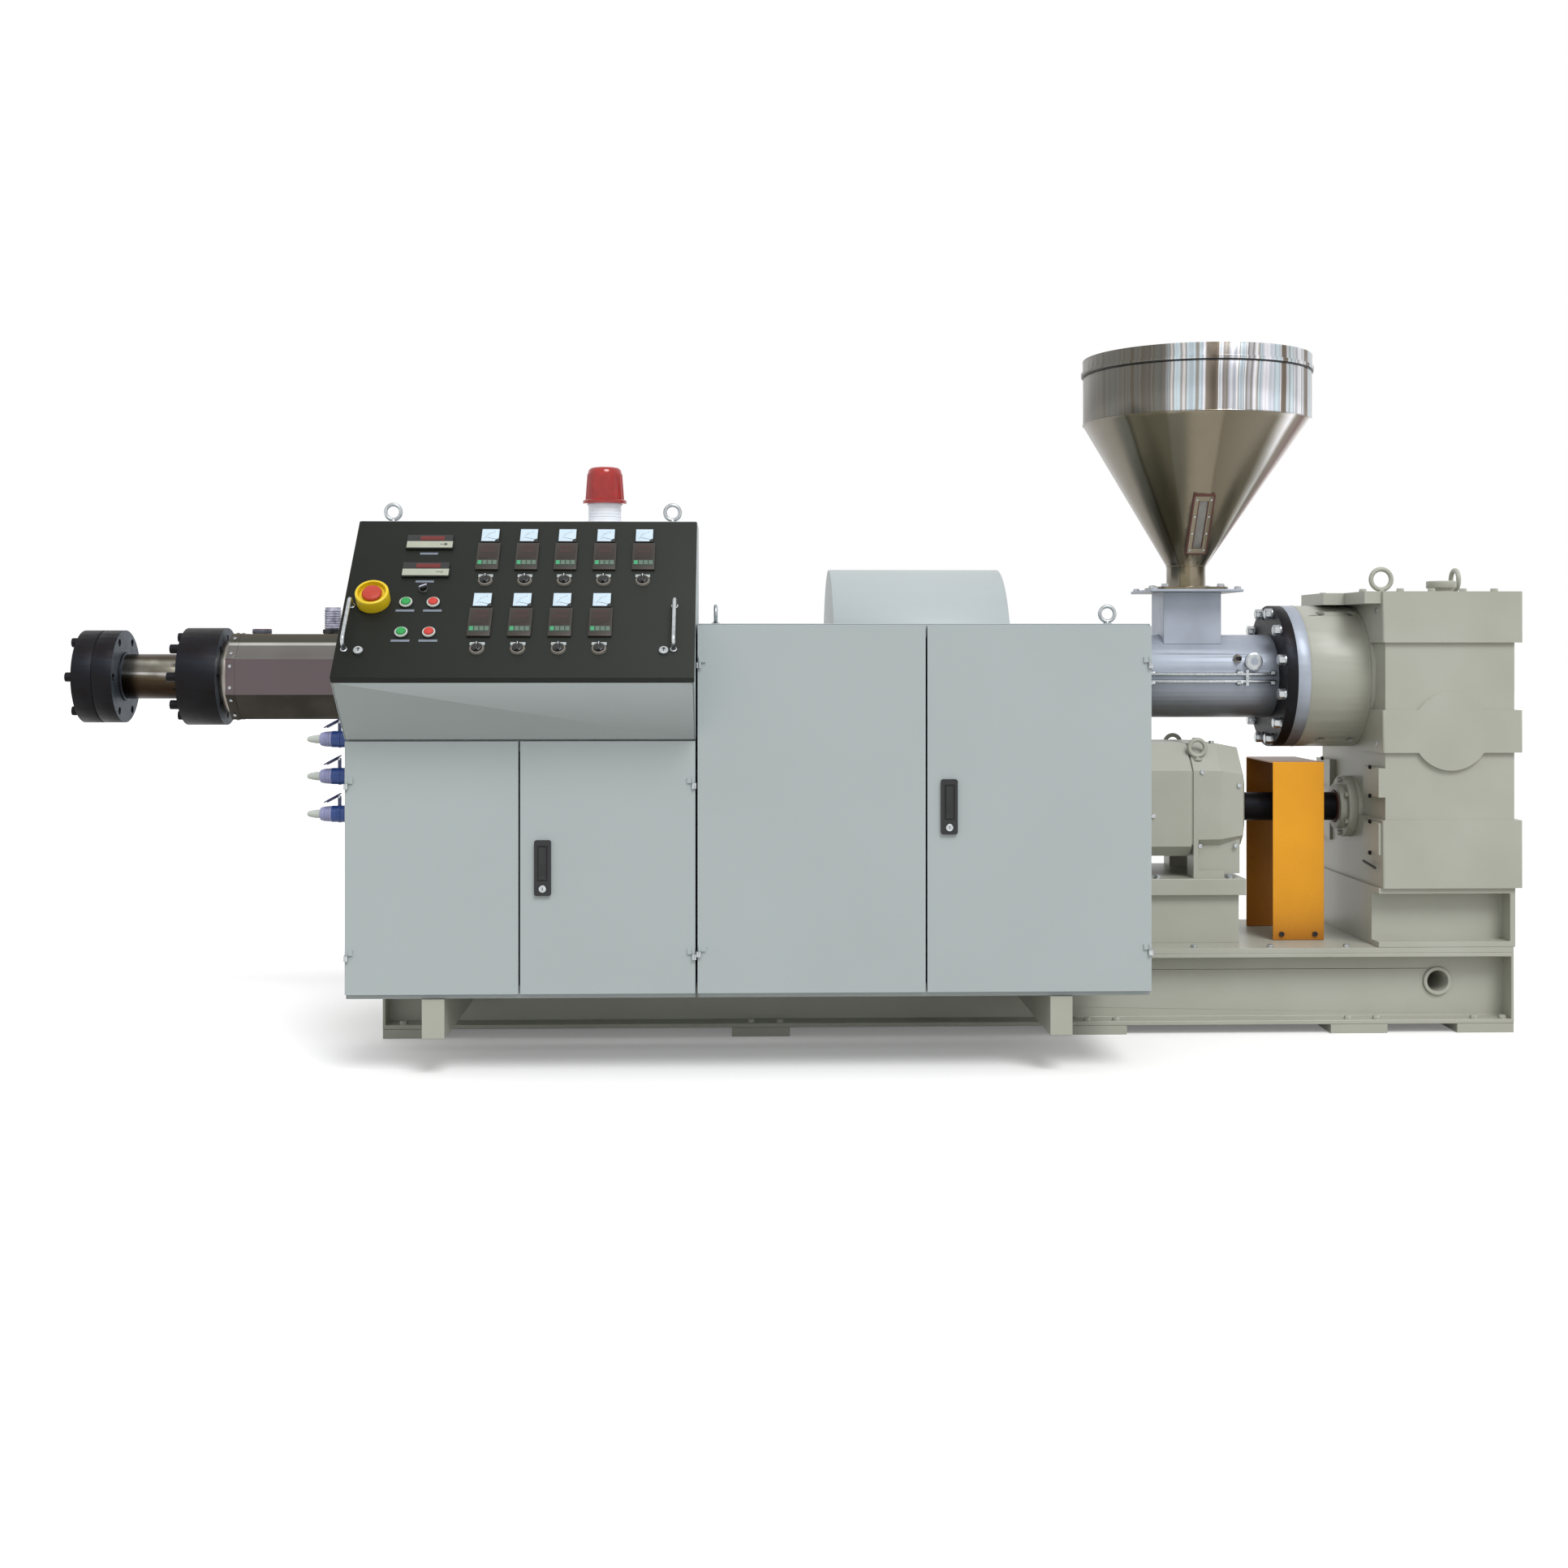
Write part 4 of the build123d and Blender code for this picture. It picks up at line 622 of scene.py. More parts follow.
def turned_steel(tree, place):
    # Lathe-turned steel: fine rings round its axis and a thin brown oil stain from heat.
    tint = shaded(tree, linear("A5A29C"), linear("6B5B4C"), place, 70.0, 0.6, 4.0)
    bump = tool_marks(tree, place, 0.02)
    return {"Base Color": tint, "Normal": bump, "Metallic": 1.0, "Roughness": 0.28}


def zinc_plated_steel(tree, place):
    # Bright zinc plate on small steel parts: pale, slightly cloudy, crisp highlights.
    tint = shaded(tree, linear("C4C8CA"), linear("9A9FA3"), place, 12.0, 0.7)
    cloud = add_node(
        tree, "ShaderNodeTexNoise", {"Vector": place, "Scale": per_metre(5.0), "Detail": 3.0},
    )
    rough = add_node(tree, "ShaderNodeMapRange", {"Value": cloud, "To Min": 0.24, "To Max": 0.42})
    return {"Base Color": tint, "Roughness": rough, "Metallic": 1.0}


def beacon_polycarbonate(tree, place):
    # Clear red polycarbonate, moulded with upright ribs: light goes in and comes out deeper red.
    tint = shaded(tree, linear("E0302A"), linear("B81E1C"), place, 25.0, 0.6)
    return {"Base Color": tint, "Roughness": 0.16, "IOR": 1.58, "Transmission Weight": 0.55}


def sight_glass(tree, place):
    # Thick clear acrylic over the hopper's slot, with a faint grey cast from powder behind it.
    tint = shaded(tree, linear("8E8B85"), linear("6E6A63"), place, 40.0, 0.7)
    return {"Base Color": tint, "Roughness": 0.14, "IOR": 1.49, "Coat Weight": 0.5}


def moulded_plastic(tree, place, colour, roughness):
    # Injection-moulded plastic: even colour, a faint skin texture and a soft sheen.
    tint = shaded(tree, linear(colour), darkened(linear(colour), 0.85), place, 30.0, 0.5)
    # the mould's spark texture is about 0.2 mm, drawn at 1 mm so that it shows
    _, bump = embossed(tree, place, 1.0, 2.0, 0.06, 0.0002)
    return {"Base Color": tint, "Normal": bump, "Roughness": roughness}


# Finishes: short name, then the material's name, its maker and what the maker takes
FINISHES = {
    "cabinet_grey": ("powder_coated_steel_sheet", powder_coated_steel),
    "machine_cream": ("sprayed_enamel_on_iron", enamelled_machine),
    "panel_green": ("sprayed_dark_enamel_sheet", enamelled_panel),
    "guard_yellow": ("gloss_safety_enamel_sheet", enamelled_guard),
    "barrel_silver": ("heatproof_aluminium_paint", aluminium_painted_barrel),
    "polished_stainless": ("mirror_polished_stainless_sheet", polished_stainless_sheet),
    "satin_stainless": ("belt_ground_stainless_sheet", brushed_stainless_cover),
    "black_steel": ("blackened_oiled_steel", blackened_steel),
    "turned_steel": ("lathe_turned_steel", turned_steel),
    "stained_steel": ("heat_stained_turned_steel", heat_stained_steel),
    "conduit_with_painted_shade": ("plastic_coated_conduit", conduit_sleeve_with_painted_shade),
    "zinc_steel": ("bright_zinc_plated_steel", zinc_plated_steel),
    "beacon_red": ("moulded_polycarbonate_red", beacon_polycarbonate),
    "sight_window": ("cast_acrylic_sight_window", sight_glass),
}
# Plastics: short name, then material and process, colour and roughness
PLASTICS = {
    "black_plastic": ("moulded_nylon_black", "17181A", 0.42),
    "white_plastic": ("moulded_abs_white", "F3F7FF", 0.35),
    "grey_plastic": ("moulded_abs_umber", "2B241D", 0.4),
    "blue_plastic": ("moulded_polyamide_blue", "2A4A8F", 0.34),
    "button_plastic": ("moulded_acetal_red", "C8362C", 0.3),
    "green_button": ("moulded_acetal_green", "1F9A4A", 0.3),
    "stop_yellow": ("moulded_abs_yellow", "E3C51C", 0.35),
    "ivory_plastic": ("moulded_abs_ivory", "ABAF9F", 0.4),
    "pale_plastic": ("moulded_polyamide_pale", "C3CBDA", 0.3),
    "dial_card": ("printed_aluminium_dial", "C8DCEA", 0.45),
    "key_green": ("silicone_rubber_keys_green", "3C9A6A", 0.5),
    "key_dull": ("silicone_rubber_keys_grey", "5B7263", 0.5),
    "key_strip": ("printed_film_dark_green", "2E4A3C", 0.45),
    "window_red": ("tinted_acrylic_window_red", "6A1A16", 0.16),
    "window_smoke": ("tinted_acrylic_window_smoke", "2C211B", 0.14),
    "label_plate": ("printed_aluminium_label", "A9B3B4", 0.4),
    "label_dark": ("laminate_label_stock", "78818F", 0.5),
    "lamp_amber": ("blown_glass_lamp_amber", "F0A24A", 0.2),
    "gasket_rubber": ("moulded_rubber_brown", "5A342E", 0.55),
    "stop_red": ("moulded_stop_red", "B5341F", 0.35),
    "dull_bezel": ("pressed_dull_bezel", "7A756E", 0.4),
    "segments_off": ("unlit_display_segments", "3A1E18", 0.3),
    "slate_plastic": ("moulded_phenolic_slate", "4A4D5A", 0.5),
    "bezel_plastic": ("moulded_abs_pearl", "C6CCC6", 0.25),
    "lilac_plastic": ("moulded_polyamide_lilac", "9C9FC6", 0.34),
    "lid_plastic": ("moulded_polyamide_slate", "4A4A63", 0.4),
    "conduit_grey": ("extruded_polyamide_hose_grey", "8A8CA2", 0.45),
}
finishes = {}


def new_material(name, make, *values):
    """A new material whose shader takes its inputs from the maker."""
    material = bpy.data.materials.new(name)
    material.use_nodes = True
    tree = material.node_tree
    place = add_node(tree, "ShaderNodeTexCoord").outputs["Object"]
    feed(tree, tree.nodes["Principled BSDF"], make(tree, place, *values))
    return material


def finish(name):
    """A finish by its short name, made when it is first asked for."""
    if name not in finishes:
        if name in PLASTICS:
            material, colour, roughness = PLASTICS[name]
            finishes[name] = new_material(material, moulded_plastic, colour, roughness)
        else:
            finishes[name] = new_material(*FINISHES[name])
    return finishes[name]


# The stage and the finishes of the pieces that come from the frame
def seen_directly(tree):
    """1 where the eye, bright metal or a clear piece looks, and 0 for light that only bounces."""
    path = add_node(tree, "ShaderNodeLightPath").outputs
    seen = add_node(
        tree, "ShaderNodeMath", {0: path["Is Camera Ray"], 1: path["Is Glossy Ray"]},
        operation="MAXIMUM",
    )
    return add_node(
        tree, "ShaderNodeMath", {0: seen, 1: path["Is Transmission Ray"]}, operation="MAXIMUM",
    )


def studio_vinyl(tree, place):
    # Matt white studio vinyl: it only has to stay pale and take the machine's shadow.
    seen = seen_directly(tree)
    lift = add_node(tree, "ShaderNodeMath", {0: seen, 1: 0.16}, operation="MULTIPLY")
    # what the eye and the metal see is pale, and what bounces onto the machine is dimmer
    tint = add_node(
        tree, "ShaderNodeMix", {"Factor": seen, "A": linear("B0AFA8"), "B": linear("FAFAFA")},
        data_type="RGBA",
    )
    return {
        "Base Color": tint, "Roughness": 1.0, "Specular IOR Level": 0.0, "Emission Color": WHITE,
        "Emission Strength": lift,
    }


def lay_floor():
    """A pale floor that runs out of sight, just under the feet."""
    shape = bmesh.new()
    bmesh.ops.create_grid(shape, x_segments=1, y_segments=1, size=40.0)
    data = bpy.data.meshes.new("studio_floor")
    shape.to_mesh(data)
    shape.free()
    floor = bpy.data.objects.new("studio_floor", data)
    bpy.context.scene.collection.objects.link(floor)
    floor.location.z = -0.5 * MM
    data.materials.append(new_material("matt_white_studio_vinyl", studio_vinyl))


def light_studio():
    """Even light from all around, and one large soft lamp."""
    values = bpy.context.scene.extruder_view
    world = bpy.data.worlds.new("studio_world")
    bpy.context.scene.world = world
    world.use_nodes = True
    tree = world.node_tree
    background = tree.nodes["Background"]
    feed(tree, background, {"Color": WHITE, "Strength": values.sky})
    white = add_node(tree, "ShaderNodeBackground", {"Color": WHITE, "Strength": 1.0})
    chosen = add_node(
        tree, "ShaderNodeMixShader", {0: seen_directly(tree), 1: background, 2: white},
    )
    feed(tree, tree.nodes["World Output"], {"Surface": chosen})
    lamp = bpy.data.lights.new("key_lamp", "SUN")
    lamp.energy = values.key_watts
    lamp.angle = math.radians(25)
    key = bpy.data.objects.new("key_lamp", lamp)
    bpy.context.scene.collection.objects.link(key)
    # from high above the operator's right shoulder
    key.rotation_euler = Vector((0.35, -1.0, 1.2)).to_track_quat("Z", "Y").to_euler()


def place_camera():
    """The photograph's camera, by its place, its turn and its lens."""
    values = bpy.context.scene.extruder_view
    camera = bpy.data.cameras.new("photo_camera")
    camera.sensor_width = SENSOR_MM
    camera.lens = SENSOR_MM * values.focal_pixels / PHOTO_PIXELS
    camera.shift_y = (values.horizon_pixel - PHOTO_PIXELS / 2) / PHOTO_PIXELS
    camera.clip_end = 200.0
    seat = bpy.data.objects.new("photo_camera", camera)
    bpy.context.scene.collection.objects.link(seat)
    seat.location = (values.camera_x, values.camera_y, values.camera_z)
    level = Matrix.Rotation(-values.turn, 4, "Z") @ Matrix.Rotation(math.radians(90), 4, "X")
    seat.rotation_euler = (level @ Matrix.Rotation(values.roll, 4, "Z")).to_euler()
    bpy.context.scene.camera = seat
    bpy.context.scene.view_settings.view_transform = "Standard"


class EXTRUDER_OT_stage(bpy.types.Operator):
    """Lay the pale floor, set the studio light and place the photograph's camera"""

    bl_idname = "extruder.stage"
    bl_label = "Studio and camera"

    def execute(self, context):
        lay_floor()
        light_studio()
        place_camera()
        return {"FINISHED"}


# pieces whose metal has aged differently from the rest of their slot
SPECIAL_FINISHES = {"adapter_pipe": "stained_steel", "locating_ring": "barrel_silver"}
EDGE_BREAK = 2.0 * MM
WELD_DISTANCE = 0.02 * MM


def soften_edges(node):
    """Joins the faces of a frame piece and breaks its sharp edges, as a deburring tool does."""
    low, high = corners([point.co for point in node.data.vertices])
    weld = node.modifiers.new("joined_faces", "WELD")
    weld.merge_threshold = WELD_DISTANCE
    bevel = node.modifiers.new("broken_edges", "BEVEL")
    bevel.width = min(EDGE_BREAK, min(high - low) * 0.1)
    bevel.segments = 2
    bevel.limit_method = "ANGLE"
    bevel.angle_limit = math.radians(40)
    bevel.harden_normals = True
    bevel.use_clamp_overlap = True


class EXTRUDER_OT_finishes(bpy.types.Operator):
    """Give every piece of the frame its finish and break its sharp edges"""

    bl_idname = "extruder.finishes"
    bl_label = "Finishes of the frame"

    def execute(self, context):
        for row in frame["record"]["subparts"]:
            node = frame["nodes"][row["node"]]
            node.data.materials.clear()
            node.data.materials.append(
                finish(SPECIAL_FINISHES.get(row["node"], row["material_slot"]))
            )
            soften_edges(node)
        return {"FINISHED"}


# Fittings that several pieces share
def turned_ring(sides, radius, flats):
    """Reach of each point round a turned piece, or round one with this many flats."""
    steps = [2 * math.pi * i / sides for i in range(sides)]
    if not flats:
        return [(a, radius) for a in steps]
    half = math.pi / flats
    return [(a, radius / math.cos((a + half) % (2 * half) - half)) for a in steps]


def hex_bolt(shape, foot, axis, across, height, metal):
    """A hexagon head on its washer, with the turned chamfer round its top."""
    half = across / 2
    washer = min(0.16 * across, 0.3 * height)
    shape.turned(
        [
            (1.2 * half, 0), (1.2 * half, washer), (half, washer, 6),
            (half, height - 0.16 * half, 6), (0.92 * half, height), (0, height),
        ],
        metal, foot, axis, 24,
    )


def cap_screw(shape, foot, axis, radius, height, metal):
    """A round cap screw with its hexagon socket."""
    edge = 0.12 * radius
    shape.turned(
        [
            (radius, 0), (radius, height - edge), (radius - edge, height),
            (0.52 * radius, height, 6),
            (0.52 * radius, height - min(0.8 * radius, 0.6 * height), 6),
            (0, height - min(0.9 * radius, 0.7 * height)),
        ],
        metal, foot, axis, 24,
    )


def foot_of(low, high):
    """The middle of the foot of a block between two corners."""
    return Vector(((low.x + high.x) / 2, (low.y + high.y) / 2, low.z))


def round_seat(low, high):
    """Foot, radius and height of a round fitting between two corners."""
    return foot_of(low, high), (high.x - low.x) / 2, high.z - low.z


def mm(*points):
    """Points that are given in millimetres, with the number of flats of those that have one."""
    return [(x * MM, y * MM, *flats) for x, y, *flats in points]


def frame_at(origin, right, up, out):
    """A frame with its own three directions."""
    return Matrix.Translation(origin) @ Matrix((right, up, out)).transposed().to_4x4()


def on_circle(centre, radius, count, start):
    """Places on a bolt circle round an axis along x, in degrees from its rear."""
    turns = [math.radians(start + 360 * i / count) for i in range(count)]
    return [Vector(centre) + Vector((0, math.cos(a), math.sin(a))) * radius for a in turns]


def arc_points(middle, radius, start, end, count):
    """Points on a flat arc, with its ends in degrees."""
    turns = [math.radians(start + (end - start) * i / count) for i in range(count + 1)]
    return [(middle[0] + radius * math.cos(a), middle[1] + radius * math.sin(a)) for a in turns]


# The operator panel's instruments
def panel_place():
    """The panel's own frame from its top left corner: x right, y up its slope, z out of it."""
    mesh = frame["nodes"]["control_panel"].data
    face = max((face for face in mesh.polygons if face.normal.y < -0.5), key=lambda face: face.area)
    out = face.normal.copy()
    right = Vector((1.0, 0.0, 0.0))
    up = out.cross(right)
    points = [point.co for point in mesh.vertices]
    level = max(out.dot(point) for point in points)
    top = max(up.dot(point) for point in points if out.dot(point) > level - MM)
    corner = right * min(point.x for point in points) + up * top + out * level
    return frame_at(corner, right, up, out)


def seats_on_panel(node):
    """The low and high corners of each of a node's solids, in the panel's own frame."""
    back = panel_place().inverted()
    return [corners([back @ point for point in points]) for points in solids_of(node)]


SMALL_KNOB_LIMIT = 30 * MM
AMMETER_RIM = 1.7 * MM
AMMETER_SCALE_MARKS = 11


def ammeter(shape, low, high):
    """A square ammeter: black case, pale dial with scale and needle, and its pivot's cover."""
    black = "black_plastic"
    shape.box(low, (high.x, high.y, high.z - 1.0 * MM), black, 1.2 * MM)
    shape.box(
        (low.x + AMMETER_RIM, low.y + AMMETER_RIM, high.z - 2.0 * MM),
        (high.x - AMMETER_RIM, high.y - AMMETER_RIM, high.z - 0.6 * MM), "dial_card", 0.4 * MM,
    )
    pivot = Vector((high.x - 9.0 * MM, low.y + 9.0 * MM, high.z - 0.6 * MM))
    for i in range(AMMETER_SCALE_MARKS):
        turn = math.radians(98 + 74 * i / (AMMETER_SCALE_MARKS - 1))
        way = Vector((math.cos(turn), math.sin(turn), 0))
        long_mark = 5.0 if i % 5 == 0 else 3.0
        shape.rod(
            pivot + way * 25 * MM, pivot + way * (25 + long_mark) * MM, 0.35 * MM, black, sides=4,
        )
    needle = Vector((math.cos(math.radians(165)), math.sin(math.radians(165)), 0))
    shape.rod(pivot, pivot + needle * 23 * MM, 0.5 * MM, black, sides=6)
    corner = (high.x - 1.0 * MM, low.y + 1.0 * MM)
    outline = [corner] + arc_points(corner, 10 * MM, 90, 180, 8)
    shape.prism(outline, high.z - 2.0 * MM, high.z, black, edge=0.3 * MM)


def temperature_controller(shape, low, high):
    """A panel controller: display window over a row of rubber keys, in a dark case."""
    long = high.y - low.y
    wide = high.x - low.x
    face = high.z - 1.4 * MM
    shape.box(low, (high.x, high.y, face), "grey_plastic", 1.5 * MM)
    # display window with its two lines of blank segments
    shape.box(
        (low.x + 0.09 * wide, low.y + 0.4 * long, face - MM),
        (high.x - 0.09 * wide, high.y - 0.06 * long, face + 0.9 * MM), "window_smoke", 0.6 * MM,
    )
    for row in (0.63, 0.8):
        for i in range(4):
            x = low.x + (0.24 + 0.14 * i) * wide
            shape.box(
                (x, low.y + row * long, face),
                (x + 0.1 * wide, low.y + (row + 0.1) * long, face + 1.1 * MM), "segments_off",
            )
    # four keys, the first of them brighter
    shape.box(
        (low.x + 0.05 * wide, low.y + 0.15 * long, face - MM),
        (high.x - 0.05 * wide, low.y + 0.345 * long, face + 0.5 * MM), "key_strip", 0.4 * MM,
    )
    for i in range(4):
        x = low.x + (0.075 + 0.22 * i) * wide
        shape.box(
            (x, low.y + 0.17 * long, face), (x + 0.19 * wide, low.y + 0.325 * long, high.z),
            "key_green" if i == 0 else "key_dull", 0.6 * MM,
        )


def selector_switch(shape, low, high):
    """A rotary switch: bezel, black knob with a grip and a white mark, blank plate above."""
    middle, radius, tall = round_seat(low, high)
    shape.turned(
        [
            (0, 0), (radius, 0), (radius, 2.5 * MM), (radius - 2.5 * MM, 6.6 * MM),
            (radius - 4.5 * MM, 7 * MM), (radius - 5.5 * MM, 4 * MM), (0, 4 * MM),
        ],
        "dull_bezel", middle,
    )
    shape.turned(
        [
            (0, 3 * MM), (radius - 6 * MM, 3 * MM), (radius - 6.5 * MM, 9 * MM),
            (radius - 8 * MM, 10 * MM), (0, 10 * MM),
        ],
        "black_plastic", middle,
    )
    half = 0.68 * radius
    shape.box(
        middle + Vector((-3.6 * MM, -half, 8 * MM)),
        middle + Vector((3.6 * MM, half, tall)), "black_plastic", 1.6 * MM,
    )
    shape.box(
        middle + Vector((-0.7 * MM, 0.3 * half, tall - MM)),
        middle + Vector((0.7 * MM, 0.9 * half, tall + 0.1 * MM)), "white_plastic",
    )
    shape.box(
        middle + Vector((-radius, 0.55 * radius, 0)),
        middle + Vector((radius, radius + 2 * MM, 3.2 * MM)), "label_plate", 0.6 * MM,
    )


def small_knob(shape, low, high):
    """A small pointer knob on its dark dial, with a pale cap."""
    middle, radius, tall = round_seat(low, high)
    shape.turned(
        [
            (0, 0), (radius, 0), (radius, 2 * MM), (0.72 * radius, 4 * MM),
            (0.66 * radius, tall - MM), (0.56 * radius, tall), (0, tall),
        ],
        "black_plastic", middle,
    )
    turned_grip = Matrix.Translation(middle) @ Matrix.Rotation(math.radians(28), 4, "Z")
    long, wide = 0.9 * radius, 2.4 * MM
    outline = [(-long, -wide), (long, -wide), (long, wide), (-long, wide)]
    shape.prism(outline, tall - 5 * MM, tall + 0.4 * MM, "pale_plastic", turned_grip, 0.8 * MM)


def digital_meter(shape, low, high):
    """A long panel meter: dark case, red window in its upper half and an ivory front below it."""
    wide = high.x - low.x
    long = high.y - low.y
    face = high.z - 2.0 * MM
    shape.box(low, (high.x - 0.02 * wide, high.y, face), "black_plastic", 1.5 * MM)
    shape.box(
        (low.x + 0.28 * wide, low.y + 0.58 * long, face - MM),
        (low.x + 0.8 * wide, high.y - 0.1 * long, face + 0.7 * MM), "window_red", 0.5 * MM,
    )
    shape.box(
        (low.x, low.y, face - 2.0 * MM), (high.x, low.y + 0.52 * long, high.z), "ivory_plastic",
        1.6 * MM,
    )
    knob = Vector((low.x + 0.84 * wide, low.y + 0.27 * long, high.z - 0.3 * MM))
    shape.turned(mm((0, 0), (5, 0), (4.4, 0.3), (0, 0.3)), "grey_plastic", knob, sides=24)
    shape.box(
        (low.x + 0.72 * wide, low.y + 0.24 * long, high.z - MM),
        (low.x + 0.8 * wide, low.y + 0.3 * long, high.z + 0.05 * MM), "key_dull",
    )


class EXTRUDER_OT_instruments(bpy.types.Operator):
    """Fit the ammeters, controllers, selectors and digital meters of the operator panel"""

    bl_idname = "extruder.instruments"
    bl_label = "Panel instruments"

    def execute(self, context):
        place = panel_place()
        for node, slot, make in (
            ("ammeters", "white_plastic", ammeter),
            ("temperature_controllers", "grey_plastic", temperature_controller),
            ("digital_meters", "grey_plastic", digital_meter),
        ):
            shape = Shape(place)
            for low, high in seats_on_panel(node):
                make(shape, low, high)
            shape.done("detailed_" + node, "control_panel", [node])
        knobs = Shape(place)
        for low, high in seats_on_panel("selector_switches"):
            make = small_knob if high.x - low.x < SMALL_KNOB_LIMIT else selector_switch
            make(knobs, low, high)
        knobs.done(
            "detailed_selector_switches", "control_panel", ["selector_switches"],
        )
        return {"FINISHED"}


HANDLE_LIMIT = 100 * MM
LABEL_LENGTH = 46.0 * MM
LABEL_WIDTH = 7.0 * MM
LABEL_GAP = 9.0 * MM


def push_button(shape, low, high, colour):
    """A lit push button: black base, bright ring and a slightly domed cap."""
    middle, radius, tall = round_seat(low, high)
    shape.turned([(0, 0), (radius, 0), (radius, 3 * MM), (0, 3 * MM)], "black_plastic", middle)
    shape.turned(
        [
            (radius - MM, 2 * MM), (radius - MM, 7 * MM), (radius - 2.4 * MM, 8 * MM),
            (0.74 * radius, 8 * MM), (0.74 * radius, 4 * MM),
        ],
        "bezel_plastic", middle,
    )
    shape.turned(
        [
            (0.7 * radius, 4 * MM), (0.7 * radius, tall - 3 * MM), (0.6 * radius, tall - MM),
            (0.3 * radius, tall), (0, tall),
        ],
        colour, middle,
    )


def emergency_stop(shape, low, high):
    """A yellow round housing with a red mushroom head on its stem."""
    middle = foot_of(low, high)
    radius = (high.x - low.x) / 2
    box_top = 34 * MM
    shape.turned(
        [
            (0, 0), (radius, 0), (radius, box_top - 3 * MM), (radius - MM, box_top - MM),
            (radius - 3 * MM, box_top), (radius - 7 * MM, box_top),
            (radius - 9 * MM, box_top - 12 * MM), (0, box_top - 12 * MM),
        ],
        "stop_yellow", middle, sides=72,
    )
    shape.turned(
        [
            (20 * MM, box_top - 12 * MM), (24 * MM, box_top - 9 * MM), (25 * MM, box_top - 4 * MM),
            (23 * MM, box_top - MM), (15 * MM, box_top + MM), (0, box_top + 1.5 * MM),
        ],
        "stop_red", middle, sides=64,
    )


def panel_handle(shape, low, high):
    """A bent round bar with a collar at each foot."""
    radius = 5 * MM
    x = (low.x + high.x) / 2
    bend = 12 * MM
    top = high.z - radius
    metal = "zinc_steel"
    ends = (low.y + radius, high.y - radius)
    shape.rod((x, ends[0] + bend, top), (x, ends[1] - bend, top), radius, metal, sides=24)
    for y, way in ((ends[0], 1), (ends[1], -1)):
        shape.rod((x, y, low.z), (x, y, top - bend), radius, metal, sides=24)
        shape.turned(
            [(0, 0), (radius + 3.5 * MM, 0), (radius + 3.5 * MM, 2.5 * MM), (radius + MM, 4 * MM)],
            metal, (x, y, low.z),
        )
        loops = []
        for i in range(7):
            a = math.pi / 2 * i / 6
            middle = Vector((
                x, y + way * bend * (1 - math.cos(a)), top - bend + bend * math.sin(a),
            ))
            out = Vector((0, -way * math.cos(a), math.sin(a))) * radius
            turns = [2 * math.pi * k / 24 for k in range(24)]
            points = [
                middle + out * math.cos(b) + Vector((radius * math.sin(b), 0, 0)) for b in turns
            ]
            loops.append([shape.mesh.verts.new(point) for point in points])
        shape.settle(shape.skin(zip(loops, loops[1:])), metal, Matrix.Identity(4), 0.0)


def panel_lock(shape, low, high):
    """A quarter-turn lock with a slot across its round face."""
    middle, radius, tall = round_seat(low, high)
    shape.turned(
        [
            (0, 0), (radius, 0), (radius, tall - 2 * MM), (radius - 2 * MM, tall),
            (0.5 * radius, tall), (0.46 * radius, tall - 3 * MM), (0, tall - 3 * MM),
        ],
        "zinc_steel", middle,
    )
    # painted shade: a black bar in the slot for the shade inside it
    shape.box(
        middle + Vector((-1.3 * MM, -0.42 * radius, tall - 4 * MM)),
        middle + Vector((1.3 * MM, 0.42 * radius, tall - 2.4 * MM)), "black_plastic",
    )


def blank_label(shape, x, y):
    """A bare engraved-stock label under an instrument."""
    shape.box(
        (x - LABEL_LENGTH / 2, y - LABEL_WIDTH, 0), (x + LABEL_LENGTH / 2, y, 0.6 * MM),
        "label_dark", 0.2 * MM,
    )


class EXTRUDER_OT_controls(bpy.types.Operator):
    """Fit the push buttons, emergency stop, handles, locks and blank labels of the panel"""

    bl_idname = "extruder.controls"
    bl_label = "Panel controls"

    def execute(self, context):
        place = panel_place()
        buttons = Shape(place)
        seats = seats_on_panel("push_buttons")
        middle = sum((low.x + high.x) / 2 for low, high in seats) / len(seats)
        labels = Shape(place)
        for low, high in seats:
            x = (low.x + high.x) / 2
            push_button(buttons, low, high, "green_button" if x < middle else "button_plastic")
            blank_label(labels, x, low.y - LABEL_GAP / 2)
        buttons.done("detailed_push_buttons", "control_panel", ["push_buttons"])
        for low, high in seats_on_panel("digital_meters"):
            blank_label(labels, (low.x + high.x) / 2, low.y - LABEL_GAP)
        labels.done("blank_labels", "control_panel")
        stop = Shape(place)
        for low, high in seats_on_panel("emergency_stop"):
            emergency_stop(stop, low, high)
        stop.done("detailed_emergency_stop", "control_panel", ["emergency_stop"])
        handles = Shape(place)
        for low, high in seats_on_panel("panel_handles"):
            make = panel_handle if high.y - low.y > HANDLE_LIMIT else panel_lock
            make(handles, low, high)
        handles.done("detailed_panel_handles", "control_panel", ["panel_handles"])
        return {"FINISHED"}


# Beacon, lifting eyes and plugs
class EXTRUDER_OT_beacon(bpy.types.Operator):
    """Build the ribbed red beacon with the lamp inside it, on its grooved base"""

    bl_idname = "extruder.beacon"
    bl_label = "Beacon"

    def execute(self, context):
        beacon_lens()
        beacon_base()
        return {"FINISHED"}


BEACON_RIB_COUNT = 40
BEACON_WALL = 2.5 * MM


